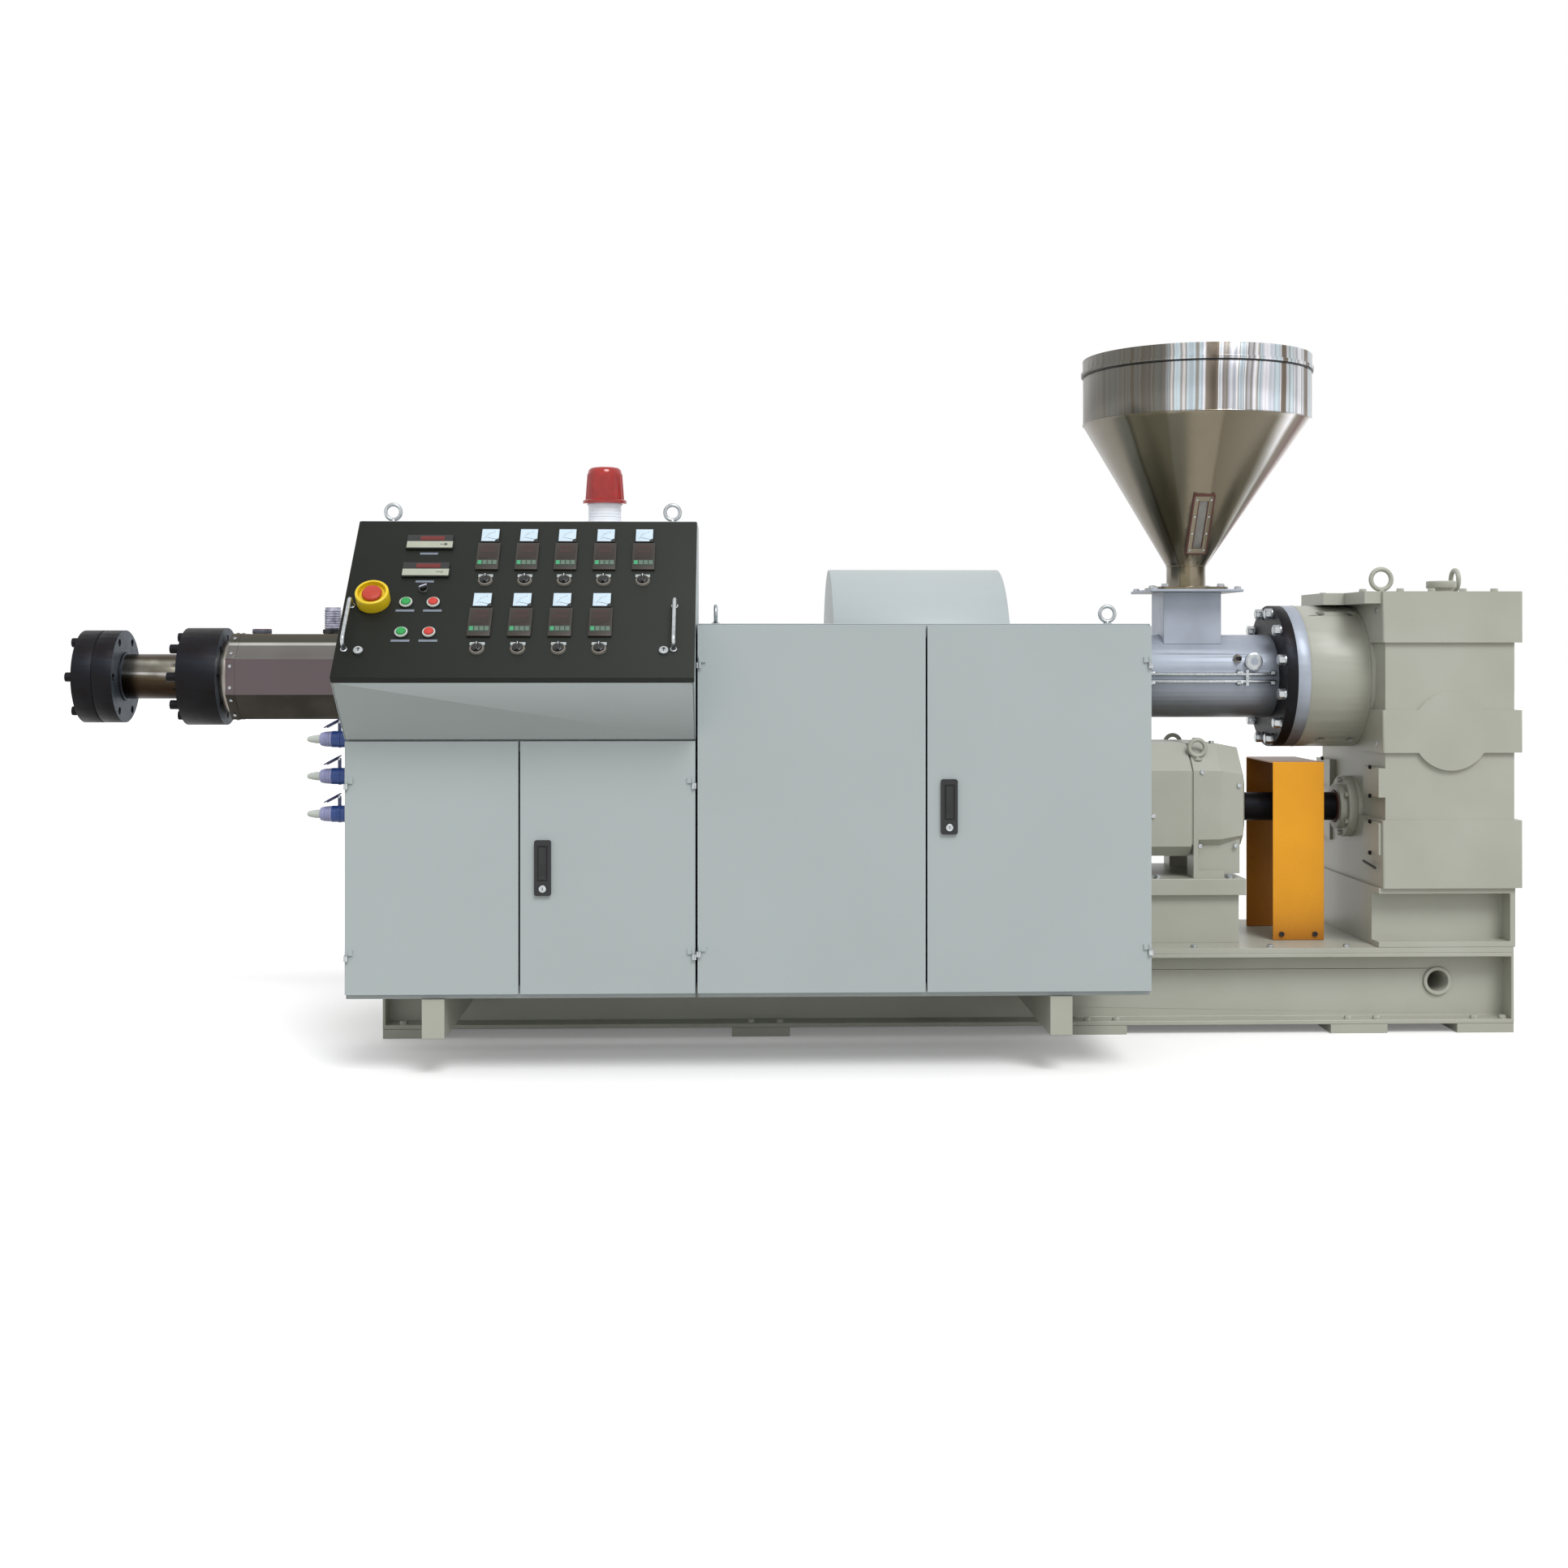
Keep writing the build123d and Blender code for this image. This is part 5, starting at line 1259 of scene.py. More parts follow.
def beacon_lens():
    """The ribbed lens, a hollow shell, with the lamp and its half-round mirror inside."""
    low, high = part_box("beacon_lens")
    foot, rim, tall = round_seat(low, high)
    wide, narrow = rim - 7.5 * MM, rim - 12.5 * MM
    red = "beacon_red"
    lens = Shape()
    outside = [
        (rim - MM, 0), (rim, 2 * MM), (rim, 8 * MM), (rim - 2 * MM, 10 * MM), (wide, 11 * MM),
        (narrow, tall - 17 * MM), (narrow - 2.5 * MM, tall - 7 * MM),
        (narrow - 8 * MM, tall - 1.5 * MM), (narrow - 16 * MM, tall), (0, tall),
    ]
    inside = [(max(r - BEACON_WALL, 0), h - BEACON_WALL) for r, h in reversed(outside[4:])]
    lens.turned(outside + inside + [(wide - BEACON_WALL, 0), (rim - MM, 0)], red, foot, sides=80)
    for i in range(BEACON_RIB_COUNT):
        turn = 2 * math.pi * i / BEACON_RIB_COUNT
        way = Vector((math.cos(turn), math.sin(turn), 0))
        start = foot + way * (wide - 0.2 * MM) + Vector((0, 0, 12 * MM))
        end = foot + way * (narrow - 0.2 * MM) + Vector((0, 0, tall - 18 * MM))
        lens.rod(start, end, 1.0 * MM, red, sides=6)
    lens.done("detailed_beacon_lens", "root", ["beacon_lens"])
    lamp = Shape()
    dark = "black_plastic"
    lamp.turned(mm((0, 1), (36, 1), (36, 12), (22, 18), (0, 18)), dark, foot)
    lamp.turned(
        mm((6, 18), (6, 30), (11, 38), (12, 50), (8, 59), (0, 62)), "lamp_amber", foot, sides=24,
    )
    # the turning mirror stands round half of the lamp
    outline = arc_points((0, 0), 26 * MM, 20, 160, 12) + arc_points((0, 0), 23 * MM, 160, 20, 12)
    lamp.prism(outline, 18 * MM, 68 * MM, "zinc_steel", Matrix.Translation(foot))
    lamp.done("beacon_lamp", "root")


def beacon_base():
    """The white base with its three grooves."""
    low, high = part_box("beacon_base")
    foot, radius, tall = round_seat(low, high)
    profile = [(radius, 0), (radius, 5 * MM), (radius - 1.5 * MM, 6 * MM)]
    for height in (14 * MM, 22 * MM, 30 * MM):
        profile += [
            (radius - 1.5 * MM, height), (radius - 2.8 * MM, height + MM),
            (radius - 2.8 * MM, height + 2 * MM), (radius - 1.5 * MM, height + 3 * MM),
        ]
    profile += [
        (radius - 1.5 * MM, tall - 6 * MM), (radius, tall - 5 * MM), (radius, tall), (0, tall),
    ]
    base = Shape()
    base.turned(profile, "white_plastic", foot, sides=64)
    base.done("detailed_beacon_base", "root", ["beacon_base"])


def eye_bolt(shape, points, wire, collar, metal, edge_on=False):
    """A forged lifting eye: collar, short neck and ring, facing the operator or edge-on."""
    low, high = corners(points)
    size = high - low
    foot = foot_of(low, high)
    ring = max(size.x, size.y) / 2 - wire
    axis = RIGHT if edge_on else (0, 1, 0)
    shape.turned(
        [
            (0, 0), (collar, 0), (collar, 0.6 * wire), (0.86 * collar, wire),
            (1.3 * wire, 1.3 * wire), (wire, 2.4 * wire),
        ],
        metal, foot, sides=32,
    )
    shape.ring((foot.x, foot.y, high.z - wire - ring), ring, wire, metal, axis, 56, 16)


EYE_LIMIT = 60 * MM


class EXTRUDER_OT_lifting_eyes(bpy.types.Operator):
    """Forge the lifting eyes of the cabinets and of the gearbox, and its filler cap"""

    bl_idname = "extruder.lifting_eyes"
    bl_label = "Lifting eyes"

    def execute(self, context):
        eyes = Shape()
        by_place = sorted(solids_of("cabinet_eye_bolts"), key=lambda points: corners(points)[0].x)
        for i, points in enumerate(by_place):
            eye_bolt(eyes, points, 5 * MM, 13 * MM, "zinc_steel", edge_on=i == 2)
        eyes.done("detailed_cabinet_eyes", "root", ["cabinet_eye_bolts"])
        fittings = Shape()
        enamel = "machine_cream"
        low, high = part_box("gearbox_fittings")
        filler_x = (low.x + high.x) / 2
        for points in solids_of("gearbox_fittings"):
            low, high = corners(points)
            if high.z - low.z > EYE_LIMIT:
                eye_bolt(fittings, points, 7 * MM, 20 * MM, enamel, edge_on=low.x > filler_x)
            else:
                filler_cap(fittings, low, high, enamel)
        fittings.done("detailed_gearbox_fittings", "root", ["gearbox_fittings"])
        return {"FINISHED"}


def filler_cap(shape, low, high, enamel):
    """The oil filler's neck and its fluted cap with a breather ring."""
    foot, radius, tall = round_seat(low, high)
    neck = 0.76 * radius
    shape.turned([(neck, 0), (neck, 0.46 * tall), (0, 0.46 * tall)], enamel, foot)
    shape.turned(
        [
            (0, 0.46 * tall), (radius - MM, 0.46 * tall), (radius, 0.5 * tall),
            (radius, 0.93 * tall), (radius - 2 * MM, tall), (0.55 * radius, tall),
            (0.5 * radius, 0.92 * tall), (0, 0.92 * tall),
        ],
        enamel, foot, sides=56,
    )
    for x, y in arc_points(foot, radius - 1.4 * MM, 0, 360, 20)[:-1]:
        start, end = (x, y, foot.z + 0.52 * tall), (x, y, foot.z + 0.9 * tall)
        shape.rod(start, end, 1.4 * MM, enamel, sides=8)


SOCKET_LID_TURN = math.radians(28.6)


def plug_and_socket(shape, low, high):
    """A panel socket with its blue sleeve, its lilac plug with a pale tip, and its lid."""
    axis = Vector((high.x, (low.y + high.y) / 2, low.z + 30 * MM))
    blue = "blue_plastic"
    half = 30 * MM
    shape.box(
        (high.x - 6 * MM, axis.y - half, axis.z - half), (high.x, axis.y + half, axis.z + half),
        blue, 2 * MM,
    )
    for y in (-22 * MM, 22 * MM):
        for z in (-22 * MM, 22 * MM):
            cap_screw(shape, axis + Vector((-6 * MM, y, z)), LEFT, 3.2 * MM, 2.5 * MM, "zinc_steel")
    shape.turned(
        mm(
            (24, 6), (24, 11), (21.5, 13), (21.5, 34), (22.6, 35), (22.6, 41), (21.2, 42),
            (21.2, 57), (20, 58), (0, 58),
        ),
        blue, axis, LEFT, sides=40,
    )
    profile = [(20.4 * MM, 57 * MM)]
    for step in range(4):
        start = (60 + 5 * step) * MM
        reach = (20.4 - 0.4 * step) * MM
        profile += [
            (reach, start), (reach, start + 2.5 * MM), (reach - 1.4 * MM, start + 3 * MM),
            (reach - 1.4 * MM, start + 4.5 * MM),
        ]
    profile += mm((18.2, 81), (16, 87), (11, 89), (0, 89))
    shape.turned(profile, "lilac_plastic", axis, LEFT, sides=40)
    shape.turned(
        mm((11.4, 87), (11, 99), (9, 110), (7, 118), (4.4, 121.4), (0, 121.9)), "bezel_plastic",
        axis, LEFT, sides=32,
    )
    lid_middle = axis + Vector((-57 * MM, 0, 41 * MM))
    lid_place = Matrix.Translation(lid_middle) @ Matrix.Rotation(-SOCKET_LID_TURN, 4, "Y")
    right_end = arc_points((4 * MM, 0), 21.5 * MM, -90, 90, 10)
    outline = right_end + arc_points((-4 * MM, 0), 21.5 * MM, 90, 270, 10)
    lid = "lid_plastic"
    shape.prism(outline, -1.5 * MM, 1.5 * MM, lid, lid_place, 0.6 * MM)
    outline = arc_points((0, 0), 18 * MM, 0, 360, 24)[:-1]
    shape.prism(outline, -5 * MM, -1 * MM, lid, lid_place, 0.6 * MM)
    # the lid's spring arm down to the socket
    arm = lid_middle + Vector((14 * MM, 0, 4 * MM))
    shape.box(
        (arm.x, axis.y - 5 * MM, axis.z + 19 * MM), (arm.x + 8 * MM, axis.y + 5 * MM, arm.z), lid,
        1.5 * MM,
    )
    shape.rod(
        (arm.x + 4 * MM, axis.y - 8 * MM, arm.z - MM),
        (arm.x + 4 * MM, axis.y + 8 * MM, arm.z - MM), 3 * MM, "zinc_steel", sides=16,
    )


class EXTRUDER_OT_plugs(bpy.types.Operator):
    """Fit the three plugs in their lidded sockets on the console's left side"""

    bl_idname = "extruder.plugs"
    bl_label = "Plugs and sockets"

    def execute(self, context):
        shape = Shape()
        for low, high in map(corners, solids_of("plug_sockets")):
            plug_and_socket(shape, low, high)
        shape.done("detailed_plug_sockets", "root", ["plug_sockets"])
        return {"FINISHED"}


# Melt outlet, heater cover and conduit
def barrel_axis():
    """Depth and height of the barrel's axis."""
    low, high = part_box("barrel_rear_flange")
    return (low.y + high.y) / 2, (low.z + high.z) / 2


OUTLET_CIRCLE = 113 * MM
OUTLET_HEAD = 20 * MM
OUTLET_SCREW = 13.4 * MM
HEAD_SCREW_LENGTH = 30 * MM
REAR_CIRCLE = 189 * MM
REAR_HEAD = 22 * MM


class EXTRUDER_OT_outlet(bpy.types.Operator):
    """Screw the outlet flanges and the barrel head flange together"""

    bl_idname = "extruder.outlet"
    bl_label = "Outlet screws"

    def execute(self, context):
        steel = "black_steel"
        bright = "turned_steel"
        low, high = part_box("outlet_flanges")
        screws = Shape()
        y, z = barrel_axis()
        for spot in on_circle((low.x + OUTLET_HEAD, y, z), OUTLET_CIRCLE, 6, 0):
            cap_screw(screws, spot, LEFT, OUTLET_SCREW, OUTLET_HEAD, steel)
        for spot in on_circle((high.x - 21.8 * MM, y, z), OUTLET_CIRCLE, 6, 0):
            hex_bolt(screws, spot, RIGHT, 17 * MM, 12 * MM, bright)
        head_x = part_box("barrel_head_flange")[0].x + HEAD_SCREW_LENGTH
        for spot in on_circle((head_x, y, z), OUTLET_CIRCLE, 8, 0):
            cap_screw(screws, spot, LEFT, OUTLET_SCREW, HEAD_SCREW_LENGTH, steel)
        # the retaining ring round the bore and the pipe's weld bead at each end
        screws.ring((low.x + OUTLET_HEAD, y, z), 46 * MM, 3 * MM, bright, RIGHT, 64, 10)
        pipe_low, pipe_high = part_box("adapter_pipe")
        pipe = (pipe_high.z - pipe_low.z) / 2
        for x in (pipe_low.x + 2 * MM, pipe_high.x - 2 * MM):
            screws.ring((x, y, z), pipe + MM, 5 * MM, steel, RIGHT, 72, 12)
        screws.done("outlet_screws", "root")
        return {"FINISHED"}


COVER_STRAP_PLACES = (0.16, 0.36, 0.56, 0.76)
COVER_STRAP = 26 * MM
COVER_HALF_WIDTH = 123 * MM


class EXTRUDER_OT_heater_cover(bpy.types.Operator):
    """Dress the folded heater cover with its joint straps, its screws and its knob"""

    bl_idname = "extruder.heater_cover"
    bl_label = "Heater cover"

    def execute(self, context):
        low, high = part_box("heater_cover")
        y, z = barrel_axis()
        steel = "satin_stainless"
        bright = "zinc_steel"
        half = COVER_HALF_WIDTH
        shape = Shape()
        flat = half * math.tan(math.radians(22.5))
        wide = COVER_STRAP / 2
        strap = [(-wide, -flat), (wide, -flat), (wide, flat), (-wide, flat)]
        length = high.x - low.x
        for x in (low.x + wide, *(low.x + length * share for share in COVER_STRAP_PLACES)):
            for k in range(8):
                turn = Matrix.Translation((x, y, z)) @ Matrix.Rotation(math.radians(45 * k), 4, "X")
                shape.prism(strap, half - 0.5 * MM, half + 1.2 * MM, steel, turn, 0.3 * MM)
                for side in (-0.6, 0.6):
                    foot = turn @ Vector((0, side * flat, half + MM))
                    out = turn.to_3x3() @ Vector(UP)
                    cap_screw(shape, foot, out, 4.6 * MM, 3 * MM, bright)
        # knob of the cover's lid
        knob = Vector((low.x + 74 * MM, y, z + half))
        shape.turned(
            mm((10, 0), (27.2, 2), (27.6, 4), (27.6, 11), (25, 15.2), (9, 15.2), (8, 13), (0, 13)),
            "slate_plastic", knob, sides=48,
        )
        shape.done("heater_cover_straps", "root")
        conduit_end()
        return {"FINISHED"}


CONDUIT_PITCH = 7 * MM


def conduit_end():
    """A hexagon gland nut, and a short end of corrugated hose standing in it."""
    low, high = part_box("cable_conduit")
    foot, nut, tall = round_seat(low, high)
    hose = nut - 6 * MM
    shape = Shape()
    shape.turned(
        [
            (nut - 3 * MM, 0), (nut - 3 * MM, 2 * MM), (nut - 4 * MM, 3 * MM, 6),
            (nut - 4 * MM, 13 * MM, 6), (hose, 15 * MM),
        ],
        "black_plastic", foot, sides=48,
    )
    profile = [(hose - 2 * MM, 12 * MM)]
    height = 16 * MM
    while height + CONDUIT_PITCH < tall:
        profile += [
            (hose - 2 * MM, height), (hose, height + 1.6 * MM), (hose, height + 4 * MM),
            (hose - 2 * MM, height + 5.6 * MM),
        ]
        height += CONDUIT_PITCH
    profile += [
        (hose - 2 * MM, tall), (hose - 5 * MM, tall), (hose - 5 * MM, tall - 20 * MM),
        (0, tall - 20 * MM),
    ]
    shape.turned(profile, "conduit_with_painted_shade", foot, sides=48)
    shape.done("detailed_cable_conduit", "root", ["cable_conduit"])


# Hopper, feed section and housing
NECK_RADIUS = 56.5 * MM
NECK_HEIGHT = 62 * MM
FOOT_PLATE = 8 * MM
CONE_HEIGHT = 422 * MM
CONE_LEAN = 30 * MM
WINDOW_HEIGHT = 117 * MM
WINDOW_WIDTH = 62 * MM
WINDOW_LENGTH = 196 * MM
WINDOW_PROUD = 6 * MM
PANE_WIDTH = 30 * MM
PANE_LENGTH = 156 * MM


def window_place(low, high, neck_x, middle_y):
    """The sight window's own frame: x to the right, y up the cone, z out of it."""
    radius = (high.x - low.x) / 2
    share = WINDOW_HEIGHT / CONE_HEIGHT
    spread = radius - NECK_RADIUS
    origin = Vector((
        neck_x + CONE_LEAN * share, middle_y - NECK_RADIUS - spread * share,
        low.z + FOOT_PLATE + NECK_HEIGHT + WINDOW_HEIGHT,
    ))
    out = Vector((0, -CONE_HEIGHT, -spread)).normalized()
    right = Vector(RIGHT)
    return frame_at(origin, right, out.cross(right), out)


def sight_window(low, high, neck_x, middle_y):
    """Acrylic pane under a rubber-edged frame that is held by small screws."""
    shape = Shape(window_place(low, high, neck_x, middle_y))
    rubber = "gasket_rubber"
    half_w, half_l = WINDOW_WIDTH / 2, WINDOW_LENGTH / 2
    top = WINDOW_PROUD + 0.6 * MM
    edge = 5 * MM
    for sign in (-1, 1):
        outer, inner = sign * (half_w + 0.8 * MM), sign * (half_w - edge)
        shape.box(
            (min(outer, inner), -half_l, -4 * MM), (max(outer, inner), half_l, top), rubber,
            1.2 * MM,
        )
        outer, inner = sign * (half_l + 0.8 * MM), sign * (half_l - edge)
        shape.box(
            (-half_w, min(outer, inner), -4 * MM), (half_w, max(outer, inner), top), rubber,
            1.2 * MM,
        )
        outer, inner = sign * PANE_WIDTH / 2, sign * (PANE_WIDTH / 2 - 2.5 * MM)
        shape.box(
            (min(outer, inner), -PANE_LENGTH / 2, 0), (max(outer, inner), PANE_LENGTH / 2, top),
            rubber, 0.6 * MM,
        )
        for k in range(4):
            spot = (sign * (half_w - 10.5 * MM), (k - 1.5) * 0.28 * WINDOW_LENGTH, WINDOW_PROUD)
            cap_screw(shape, spot, UP, 3 * MM, 2.4 * MM, "zinc_steel")
    shape.box(
        (-PANE_WIDTH / 2, -PANE_LENGTH / 2, MM), (PANE_WIDTH / 2, PANE_LENGTH / 2, 4 * MM),
        "sight_window", 0.5 * MM,
    )
    shape.done("hopper_window", "root")


class EXTRUDER_OT_hopper(bpy.types.Operator):
    """Fit the hopper's sight window, its seams, its lid's rim and its foot bolts"""

    bl_idname = "extruder.hopper"
    bl_label = "Hopper fittings"

    def execute(self, context):
        low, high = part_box("feed_hopper")
        throat_low, throat_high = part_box("feed_throat")
        neck_x = (throat_low.x + throat_high.x) / 2
        middle_y = (low.y + high.y) / 2
        sight_window(low, high, neck_x, middle_y)
        steel = "polished_stainless"
        radius = (high.x - low.x) / 2
        drum_x = neck_x + CONE_LEAN
        cone_top = low.z + FOOT_PLATE + NECK_HEIGHT + CONE_HEIGHT
        shape = Shape()
        lid_low, lid_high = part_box("hopper_lid")
        lid_rim = (lid_high.x - lid_low.x) / 2 - 6.5 * MM
        foot = low.z + FOOT_PLATE
        # rolled bead between the cone and the drum, a welded one at each end of the neck, the
        # lid's dark rubber seal, a black ring that is partly painted shade under the lid's edge,
        # and its rolled rim
        for x, z, reach, wire, coat, sides, wire_sides in (
            (drum_x, cone_top, radius, 2 * MM, steel, 128, 10),
            (neck_x, foot, NECK_RADIUS + MM, 3.5 * MM, steel, 64, 12),
            (neck_x, foot + NECK_HEIGHT, NECK_RADIUS, 2 * MM, steel, 64, 12),
            (drum_x, lid_low.z - 1.5 * MM, radius + 1.5 * MM, 2.2 * MM, "black_plastic", 128, 12),
            (drum_x, lid_high.z - 2 * MM, lid_rim, 2 * MM, steel, 128, 12),
        ):
            shape.ring((x, middle_y, z), reach, wire, coat, UP, sides, wire_sides)
        for reach, z, across, tall in (
            (82 * MM, foot, 19 * MM, 9 * MM),
            (121 * MM, throat_high.z, 17 * MM, 8 * MM),
        ):
            for x in (neck_x - reach, neck_x + reach):
                for y in (middle_y - reach, middle_y + reach):
                    hex_bolt(shape, (x, y, z), UP, across, tall, "zinc_steel")
        shape.done("hopper_fittings", "root")
        return {"FINISHED"}


BOSS_FROM_RIGHT = 76 * MM
BOSS_RISE = 44 * MM
BOSS_RADIUS = 22 * MM
CLAMP_FROM_RIGHT = 96 * MM


class EXTRUDER_OT_feed_section(bpy.types.Operator):
    """Fit the feed section's boss, its sensor and the unions of its two pipes"""

    bl_idname = "extruder.feed_section"
    bl_label = "Feed section fittings"

    def execute(self, context):
        low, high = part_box("feed_barrel")
        bright = "zinc_steel"
        front = Vector((high.x - BOSS_FROM_RIGHT, low.y, barrel_axis()[1] + BOSS_RISE))
        shape = Shape()
        shape.turned(
            [
                (BOSS_RADIUS + 3 * MM, -7 * MM), (BOSS_RADIUS + 3 * MM, -3 * MM),
                (BOSS_RADIUS + 0.4 * MM, -2 * MM), (BOSS_RADIUS + 0.4 * MM, -0.6 * MM),
                (BOSS_RADIUS - 2 * MM, MM / 2), (11 * MM, MM / 2), (9 * MM, -6 * MM), (0, -6 * MM),
            ],
            bright, front, FRONT,
        )
        sensor = front + Vector((-44 * MM, 21 * MM, 8 * MM))
        hex_bolt(shape, sensor, FRONT, 21 * MM, 9 * MM, "turned_steel")
        shape.turned(
            mm((7, 8), (7, 19), (5.5, 20), (4, 14), (0, 14)), "black_plastic", sensor, FRONT,
            sides=24,
        )
        # a union at each end of the two pipes and one beside their clamp
        pipes_low, pipes_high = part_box("coolant_pipes")
        y = pipes_low.y + 8 * MM
        beside_clamp = high.x - CLAMP_FROM_RIGHT - 30 * MM
        for z in (pipes_high.z - 8 * MM, pipes_low.z + 8 * MM):
            for x in (pipes_high.x - 16 * MM, pipes_low.x + 12 * MM, beside_clamp):
                shape.turned(
                    mm((5, 0), (7.2, 1, 6), (7.2, 11, 6), (5.4, 13), (5.4, 17), (5, 18)), bright,
                    (x, y, z), RIGHT, sides=24,
                )
        clamp = Vector((
            high.x - CLAMP_FROM_RIGHT + 4 * MM, pipes_low.y, (pipes_low.z + pipes_high.z) / 2,
        ))
        cap_screw(shape, clamp + Vector((0, MM, 0)), FRONT, 3.6 * MM, 3 * MM, bright)
        shape.done("feed_section_fittings", "root")
        return {"FINISHED"}


POCKET_ANGLES = (62, -62, 118, 242)
POCKET_FROM_LEFT = (60 * MM, 148 * MM)
POCKET_FLOOR = 21 * MM


class EXTRUDER_OT_housing(bpy.types.Operator):
    """Bolt the barrel's rear flange and the distribution housing"""

    bl_idname = "extruder.housing"
    bl_label = "Housing bolts"

    def execute(self, context):
        bolts = Shape()
        bright = "zinc_steel"
        low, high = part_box("barrel_rear_flange")
        y, z = barrel_axis()
        for spot in on_circle((low.x + REAR_HEAD, y, z), REAR_CIRCLE, 12, 15):
            hex_bolt(bolts, spot, LEFT, 27 * MM, REAR_HEAD + 0.4 * MM, bright)
        low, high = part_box("distribution_housing")
        radius = (high.z - low.z) / 2
        for inset in POCKET_FROM_LEFT:
            for angle in POCKET_ANGLES:
                way = Vector((0, math.cos(math.radians(angle)), math.sin(math.radians(angle))))
                foot = Vector((low.x + inset, y, z)) + way * (radius - POCKET_FLOOR)
                cap_screw(bolts, foot, way, 9 * MM, 15 * MM, bright)
        # turned grooves show as fine rings near both ends of the housing
        for x in (low.x + 3 * MM, high.x - 6 * MM):
            bolts.ring((x, y, z), radius, 0.9 * MM, "machine_cream", RIGHT, 128, 8)
        bolts.done("housing_bolts", "root")
        return {"FINISHED"}


# Gearbox, motor, guard and base
HEX_M12 = 18 * MM
# the gearbox's face bolts about the barrel's axis, its pads' screws and its lid's rows of bolts
FACE_BOLT_RISE = 189 * MM
FACE_BOLT_SPREAD = 236 * MM
PAD_SCREW_HEIGHTS = (93, 182, 255, 337)
PAD_SCREW_SPREAD = 215 * MM
LID_BOLT_INSETS = (60, 150, 240, 330)
LID_BOLT_SPREAD = 230 * MM


class EXTRUDER_OT_gearbox(bpy.types.Operator):
    """Bolt the gearbox's cap, faces and top plate, and lay a dark rod of painted shade along its
    left face
    """

    bl_idname = "extruder.gearbox"
    bl_label = "Gearbox bolts"

    def execute(self, context):
        shape = Shape()
        enamel = "machine_cream"
        bright = "zinc_steel"
        dark = "black_steel"
        cap_low, cap_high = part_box("input_bearing_cap")
        y, z = (cap_low.y + cap_high.y) / 2, (cap_low.z + cap_high.z) / 2
        for spot in on_circle((cap_low.x + 18 * MM, y, z), 78 * MM, 6, 30):
            hex_bolt(shape, spot, LEFT, 14 * MM, 8 * MM, enamel)
        # the shaft's dark oil seal
        shape.turned(
            mm((47, -1), (47, 2), (33, 3), (32, -1)), "gasket_rubber", (cap_low.x, y, z), LEFT,
        )
        low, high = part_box("gearbox_housing")
        middle_y = (low.y + high.y) / 2
        axis_z = barrel_axis()[1]
        face_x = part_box("distribution_housing")[1].x + 11 * MM
        for side in (-1, 1):
            for rise in (-FACE_BOLT_RISE, FACE_BOLT_RISE):
                spot = (face_x, middle_y + side * FACE_BOLT_SPREAD, axis_z + rise)
                hex_bolt(shape, spot, LEFT, HEX_M12, 12 * MM, bright)
            # screws of the side pads
            for height in PAD_SCREW_HEIGHTS:
                spot = (face_x - 19 * MM, middle_y + side * PAD_SCREW_SPREAD, low.z + height * MM)
                cap_screw(shape, spot, LEFT, 6 * MM, 6 * MM, dark)
            for inset in LID_BOLT_INSETS:
                spot = (face_x + inset * MM, middle_y + side * LID_BOLT_SPREAD, high.z)
                hex_bolt(shape, spot, UP, HEX_M12, 10 * MM, enamel)
            spot = (face_x - 30 * MM, middle_y + side * 180 * MM, high.z)
            hex_bolt(shape, spot, UP, HEX_M12, 10 * MM, enamel)
        # painted shade: a thin dark rod along the foot of the left face, for the shade under the
        # side pad's lower edge
        pad_x = face_x - 23 * MM
        start = Vector((pad_x, middle_y - 165 * MM, low.z + 64 * MM))
        shape.rod(start, start + Vector((0, -97 * MM, -9 * MM)), 4 * MM, "black_plastic", sides=12)
        shape.done("gearbox_bolts", "root")
        return {"FINISHED"}


# screws of an end bell: back from the drive end, up from the feet, and sunk into the side
BELL_SCREWS = (
    (139, 303, 1), (145, 92, 2), (40, 92, 12), (31, 264, 9), (280, 178, 0), (520, 303, 1),
)
FOOT_BOLT_SPREAD = 150 * MM
TOP_SCREWS_BACK = (91, 300, 430)
TOP_SCREW_SPREAD = 96 * MM
TOP_SCREW_HEIGHT = 381.5 * MM
COWL_SPOKE = 144 * MM


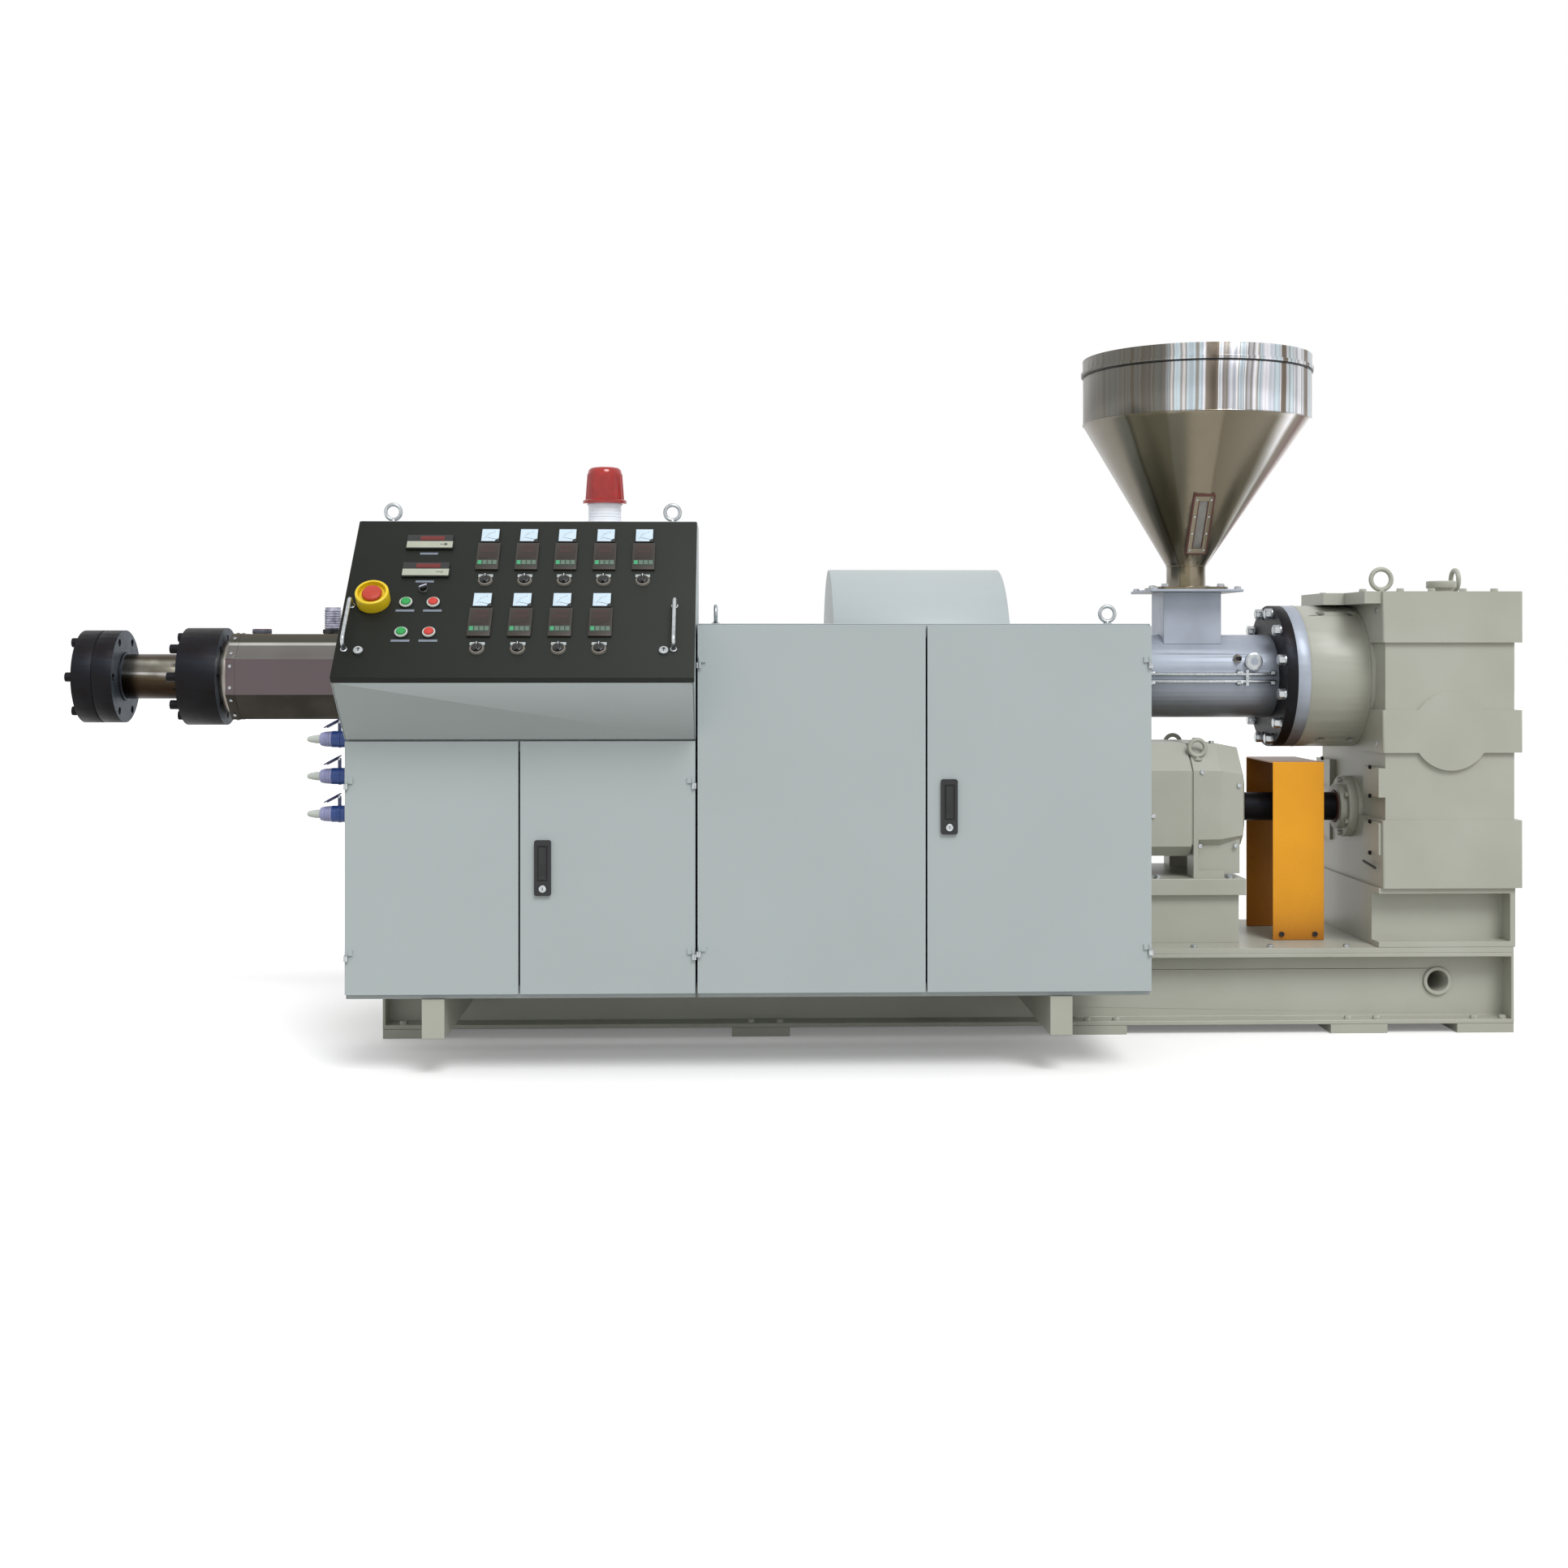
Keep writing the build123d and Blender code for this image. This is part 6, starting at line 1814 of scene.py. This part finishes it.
class EXTRUDER_OT_motor(bpy.types.Operator):
    """Fit the drive motor's screws, its foot bolts and the grille of its fan cowl"""

    bl_idname = "extruder.motor"
    bl_label = "Motor fittings"

    def execute(self, context):
        shape = Shape()
        low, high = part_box("drive_motor")
        y, half = (low.y + high.y) / 2, (high.y - low.y) / 2
        bright = "zinc_steel"
        enamel = "machine_cream"
        dark = "black_plastic"
        hub_low, hub_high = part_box("shaft_coupling")
        z = (hub_low.z + hub_high.z) / 2
        for side in (-1, 1):
            for back, rise, sunk in BELL_SCREWS:
                spot = (high.x - back * MM, y + side * (half - sunk * MM), low.z + rise * MM)
                cap_screw(shape, spot, (0, side, 0), 6.4 * MM, 4.5 * MM, bright)
            for x in (high.x - 145 * MM, low.x + 190 * MM):
                spot = (x, y + side * FOOT_BOLT_SPREAD, low.z + 22 * MM)
                hex_bolt(shape, spot, UP, HEX_M12, 12 * MM, bright)
            for back in TOP_SCREWS_BACK:
                spot = (high.x - back * MM, y + side * TOP_SCREW_SPREAD, low.z + TOP_SCREW_HEIGHT)
                cap_screw(shape, spot, UP, 8 * MM, 7 * MM, bright)
        # the cowl's end: a black disc of painted shade for the dark opening, behind rings of wire
        # on four spokes
        shape.turned(mm((0, 0), (140, 0), (140, 1.2), (0, 1.2)), dark, (low.x, y, z), LEFT, 64)
        for radius in range(20, 141, 15):
            shape.ring((low.x - 3 * MM, y, z), radius * MM, 1.8 * MM, enamel, RIGHT, 64, 8)
        cowl = Vector((low.x - 3 * MM, y, z))
        for end in on_circle(cowl, COWL_SPOKE, 8, 45)[:4]:
            shape.rod(cowl - (end - cowl), end, 2.4 * MM, enamel, sides=12)
        # bearing cap on the drive end
        for spot in on_circle((high.x - 15.3 * MM, y, z), 84 * MM, 4, 45):
            hex_bolt(shape, spot, RIGHT, 14 * MM, 15 * MM, enamel)
        shape.done("motor_fittings", "root")
        return {"FINISHED"}


DECK_BOLT_PITCH = 217 * MM
DECK_BOLT_INSET = 22 * MM
FOOT_EDGE = 270 * MM
FOOT_BOLT_INSETS = (54 * MM, 135 * MM)


class EXTRUDER_OT_base(bpy.types.Operator):
    """Bolt the deck, the guard, the pedestal, the foot plates and the hood's rims"""

    bl_idname = "extruder.base"
    bl_label = "Base bolts"

    def execute(self, context):
        shape = Shape()
        bright = "zinc_steel"
        enamel = "machine_cream"
        low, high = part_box("deck_plate")
        x = high.x - 35 * MM
        while x > low.x + 20 * MM:
            for y in (low.y + DECK_BOLT_INSET, high.y - DECK_BOLT_INSET):
                hex_bolt(shape, (x, y, high.z), UP, 16 * MM, 7 * MM, bright)
            x -= DECK_BOLT_PITCH
        deck_top, middle = high.z, (low.y + high.y) / 2
        for low, high in map(corners, solids_of("base_feet")):
            # the bolts stand at the outer edge of each foot plate
            edges = [y for y in (low.y, high.y) if abs(y - middle) >= FOOT_EDGE]
            for y in edges:
                inward = -18 * MM if y > middle else 18 * MM
                for inset in FOOT_BOLT_INSETS:
                    spot = (low.x + inset, y + inward, high.z + 12 * MM)
                    hex_bolt(shape, spot, UP, HEX_M12, 9 * MM, enamel)
        shape.done("base_bolts", "root")
        guard_screws(deck_top)
        pedestal_bolts()
        hood_rims()
        lock_details()
        return {"FINISHED"}


def guard_screws(deck_top):
    """Dark screws that hold the guard's two legs."""
    low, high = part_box("coupling_guard")
    shape = Shape()
    for y, side in ((low.y, -1), (high.y, 1)):
        for share in (0.17, 0.82):
            spot = (low.x + share * (high.x - low.x), y, deck_top + 18 * MM)
            cap_screw(shape, spot, (0, side, 0), 7 * MM, 5 * MM, "black_plastic")
    shape.done("guard_screws", "root")


def pedestal_bolts():
    """Anchor bolts along the foot of the motor pedestal's top plate."""
    low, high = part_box("motor_pedestal")
    shape = Shape()
    wide = high.x - low.x
    for y in (low.y + 17 * MM, high.y - 17 * MM):
        for share in (0.06, 0.35, 0.65, 0.94):
            hex_bolt(shape, (low.x + share * wide, y, high.z), UP, HEX_M12, 10 * MM, "zinc_steel")
    shape.done("pedestal_bolts", "root")


def hood_rims():
    """A rolled wire edge at each end of the half-round hood, and its hem screws."""
    low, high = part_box("barrel_hood")
    y, z = barrel_axis()
    radius = (high.y - low.y) / 2 - 2 * MM
    shape = Shape()
    for x in (low.x + 2 * MM, high.x - 2 * MM):
        shape.ring((x, y, z), radius, 2 * MM, "cabinet_grey", RIGHT, 64, 10, math.pi)
    for side in (-1, 1):
        for share in (0.12, 0.5, 0.88):
            spot = (low.x + share * (high.x - low.x), y + side * (radius + 1.6 * MM), z - 60 * MM)
            cap_screw(shape, spot, (0, side, 0), 5 * MM, 1.9 * MM, "zinc_steel")
    shape.done("hood_rims", "root")


def lock_details():
    """Grip ribs, pivot and key cylinder of the two swing locks."""
    for cabinet in ("console", "cabinet"):
        node, body = cabinet + "_lock_handle", cabinet + "_door_right"
        low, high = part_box(node)
        x, z = (low.x + high.x) / 2, (low.z + high.z) / 2
        shape = Shape()
        dark = "black_plastic"
        for k in range(6):
            height = z - 18 * MM + 5 * k * MM
            shape.box(
                (x - 7 * MM, low.y - 0.9 * MM, height), (x + 7 * MM, low.y + MM, height + 2 * MM),
                dark, 0.5 * MM,
            )
        shape.turned(
            mm((9, 0), (9, 1.6), (7.6, 2.2), (0, 2.2)), "zinc_steel",
            (x, low.y + 0.4 * MM, z - 52 * MM), FRONT,
        )
        # painted shade: a dark bar for the shade inside the key's slot
        shape.box(
            (x - 0.9 * MM, low.y - 2.1 * MM, z - 56 * MM),
            (x + 0.9 * MM, low.y - 1.6 * MM, z - 48 * MM), dark,
        )
        shape.done(node + "_details", body)


OPERATORS = [
    EXTRUDER_OT_stage,
    EXTRUDER_OT_finishes,
    EXTRUDER_OT_instruments,
    EXTRUDER_OT_controls,
    EXTRUDER_OT_beacon,
    EXTRUDER_OT_lifting_eyes,
    EXTRUDER_OT_plugs,
    EXTRUDER_OT_outlet,
    EXTRUDER_OT_heater_cover,
    EXTRUDER_OT_hopper,
    EXTRUDER_OT_feed_section,
    EXTRUDER_OT_housing,
    EXTRUDER_OT_gearbox,
    EXTRUDER_OT_motor,
    EXTRUDER_OT_base,
]


class EXTRUDER_PT_sidebar(bpy.types.Panel):
    """Lists the steps that dress the extruder"""

    bl_idname = "EXTRUDER_PT_sidebar"
    bl_label = "Plastic extruder"
    bl_space_type = "VIEW_3D"
    bl_region_type = "UI"
    bl_category = "Extruder"

    def draw(self, context):
        for group in (context.scene.extruder_view, context.scene.extruder_colours):
            for name in group.__annotations__:
                self.layout.prop(group, name)
        for operator in OPERATORS:
            self.layout.operator(operator.bl_idname)


CLASSES = [ExtruderView, ExtruderColours, *OPERATORS, EXTRUDER_PT_sidebar]


def register():
    for kind in CLASSES:
        bpy.utils.register_class(kind)
    bpy.types.Scene.extruder_view = bpy.props.PointerProperty(type=ExtruderView)
    bpy.types.Scene.extruder_colours = bpy.props.PointerProperty(type=ExtruderColours)


def unregister():
    del bpy.types.Scene.extruder_colours
    del bpy.types.Scene.extruder_view
    for kind in reversed(CLASSES):
        bpy.utils.unregister_class(kind)


def main():
    """Dresses the machine."""
    register()
    for operator in OPERATORS:
        group, name = operator.bl_idname.split(".")
        getattr(getattr(bpy.ops, group), name)()


if __name__ == "__main__":
    main()
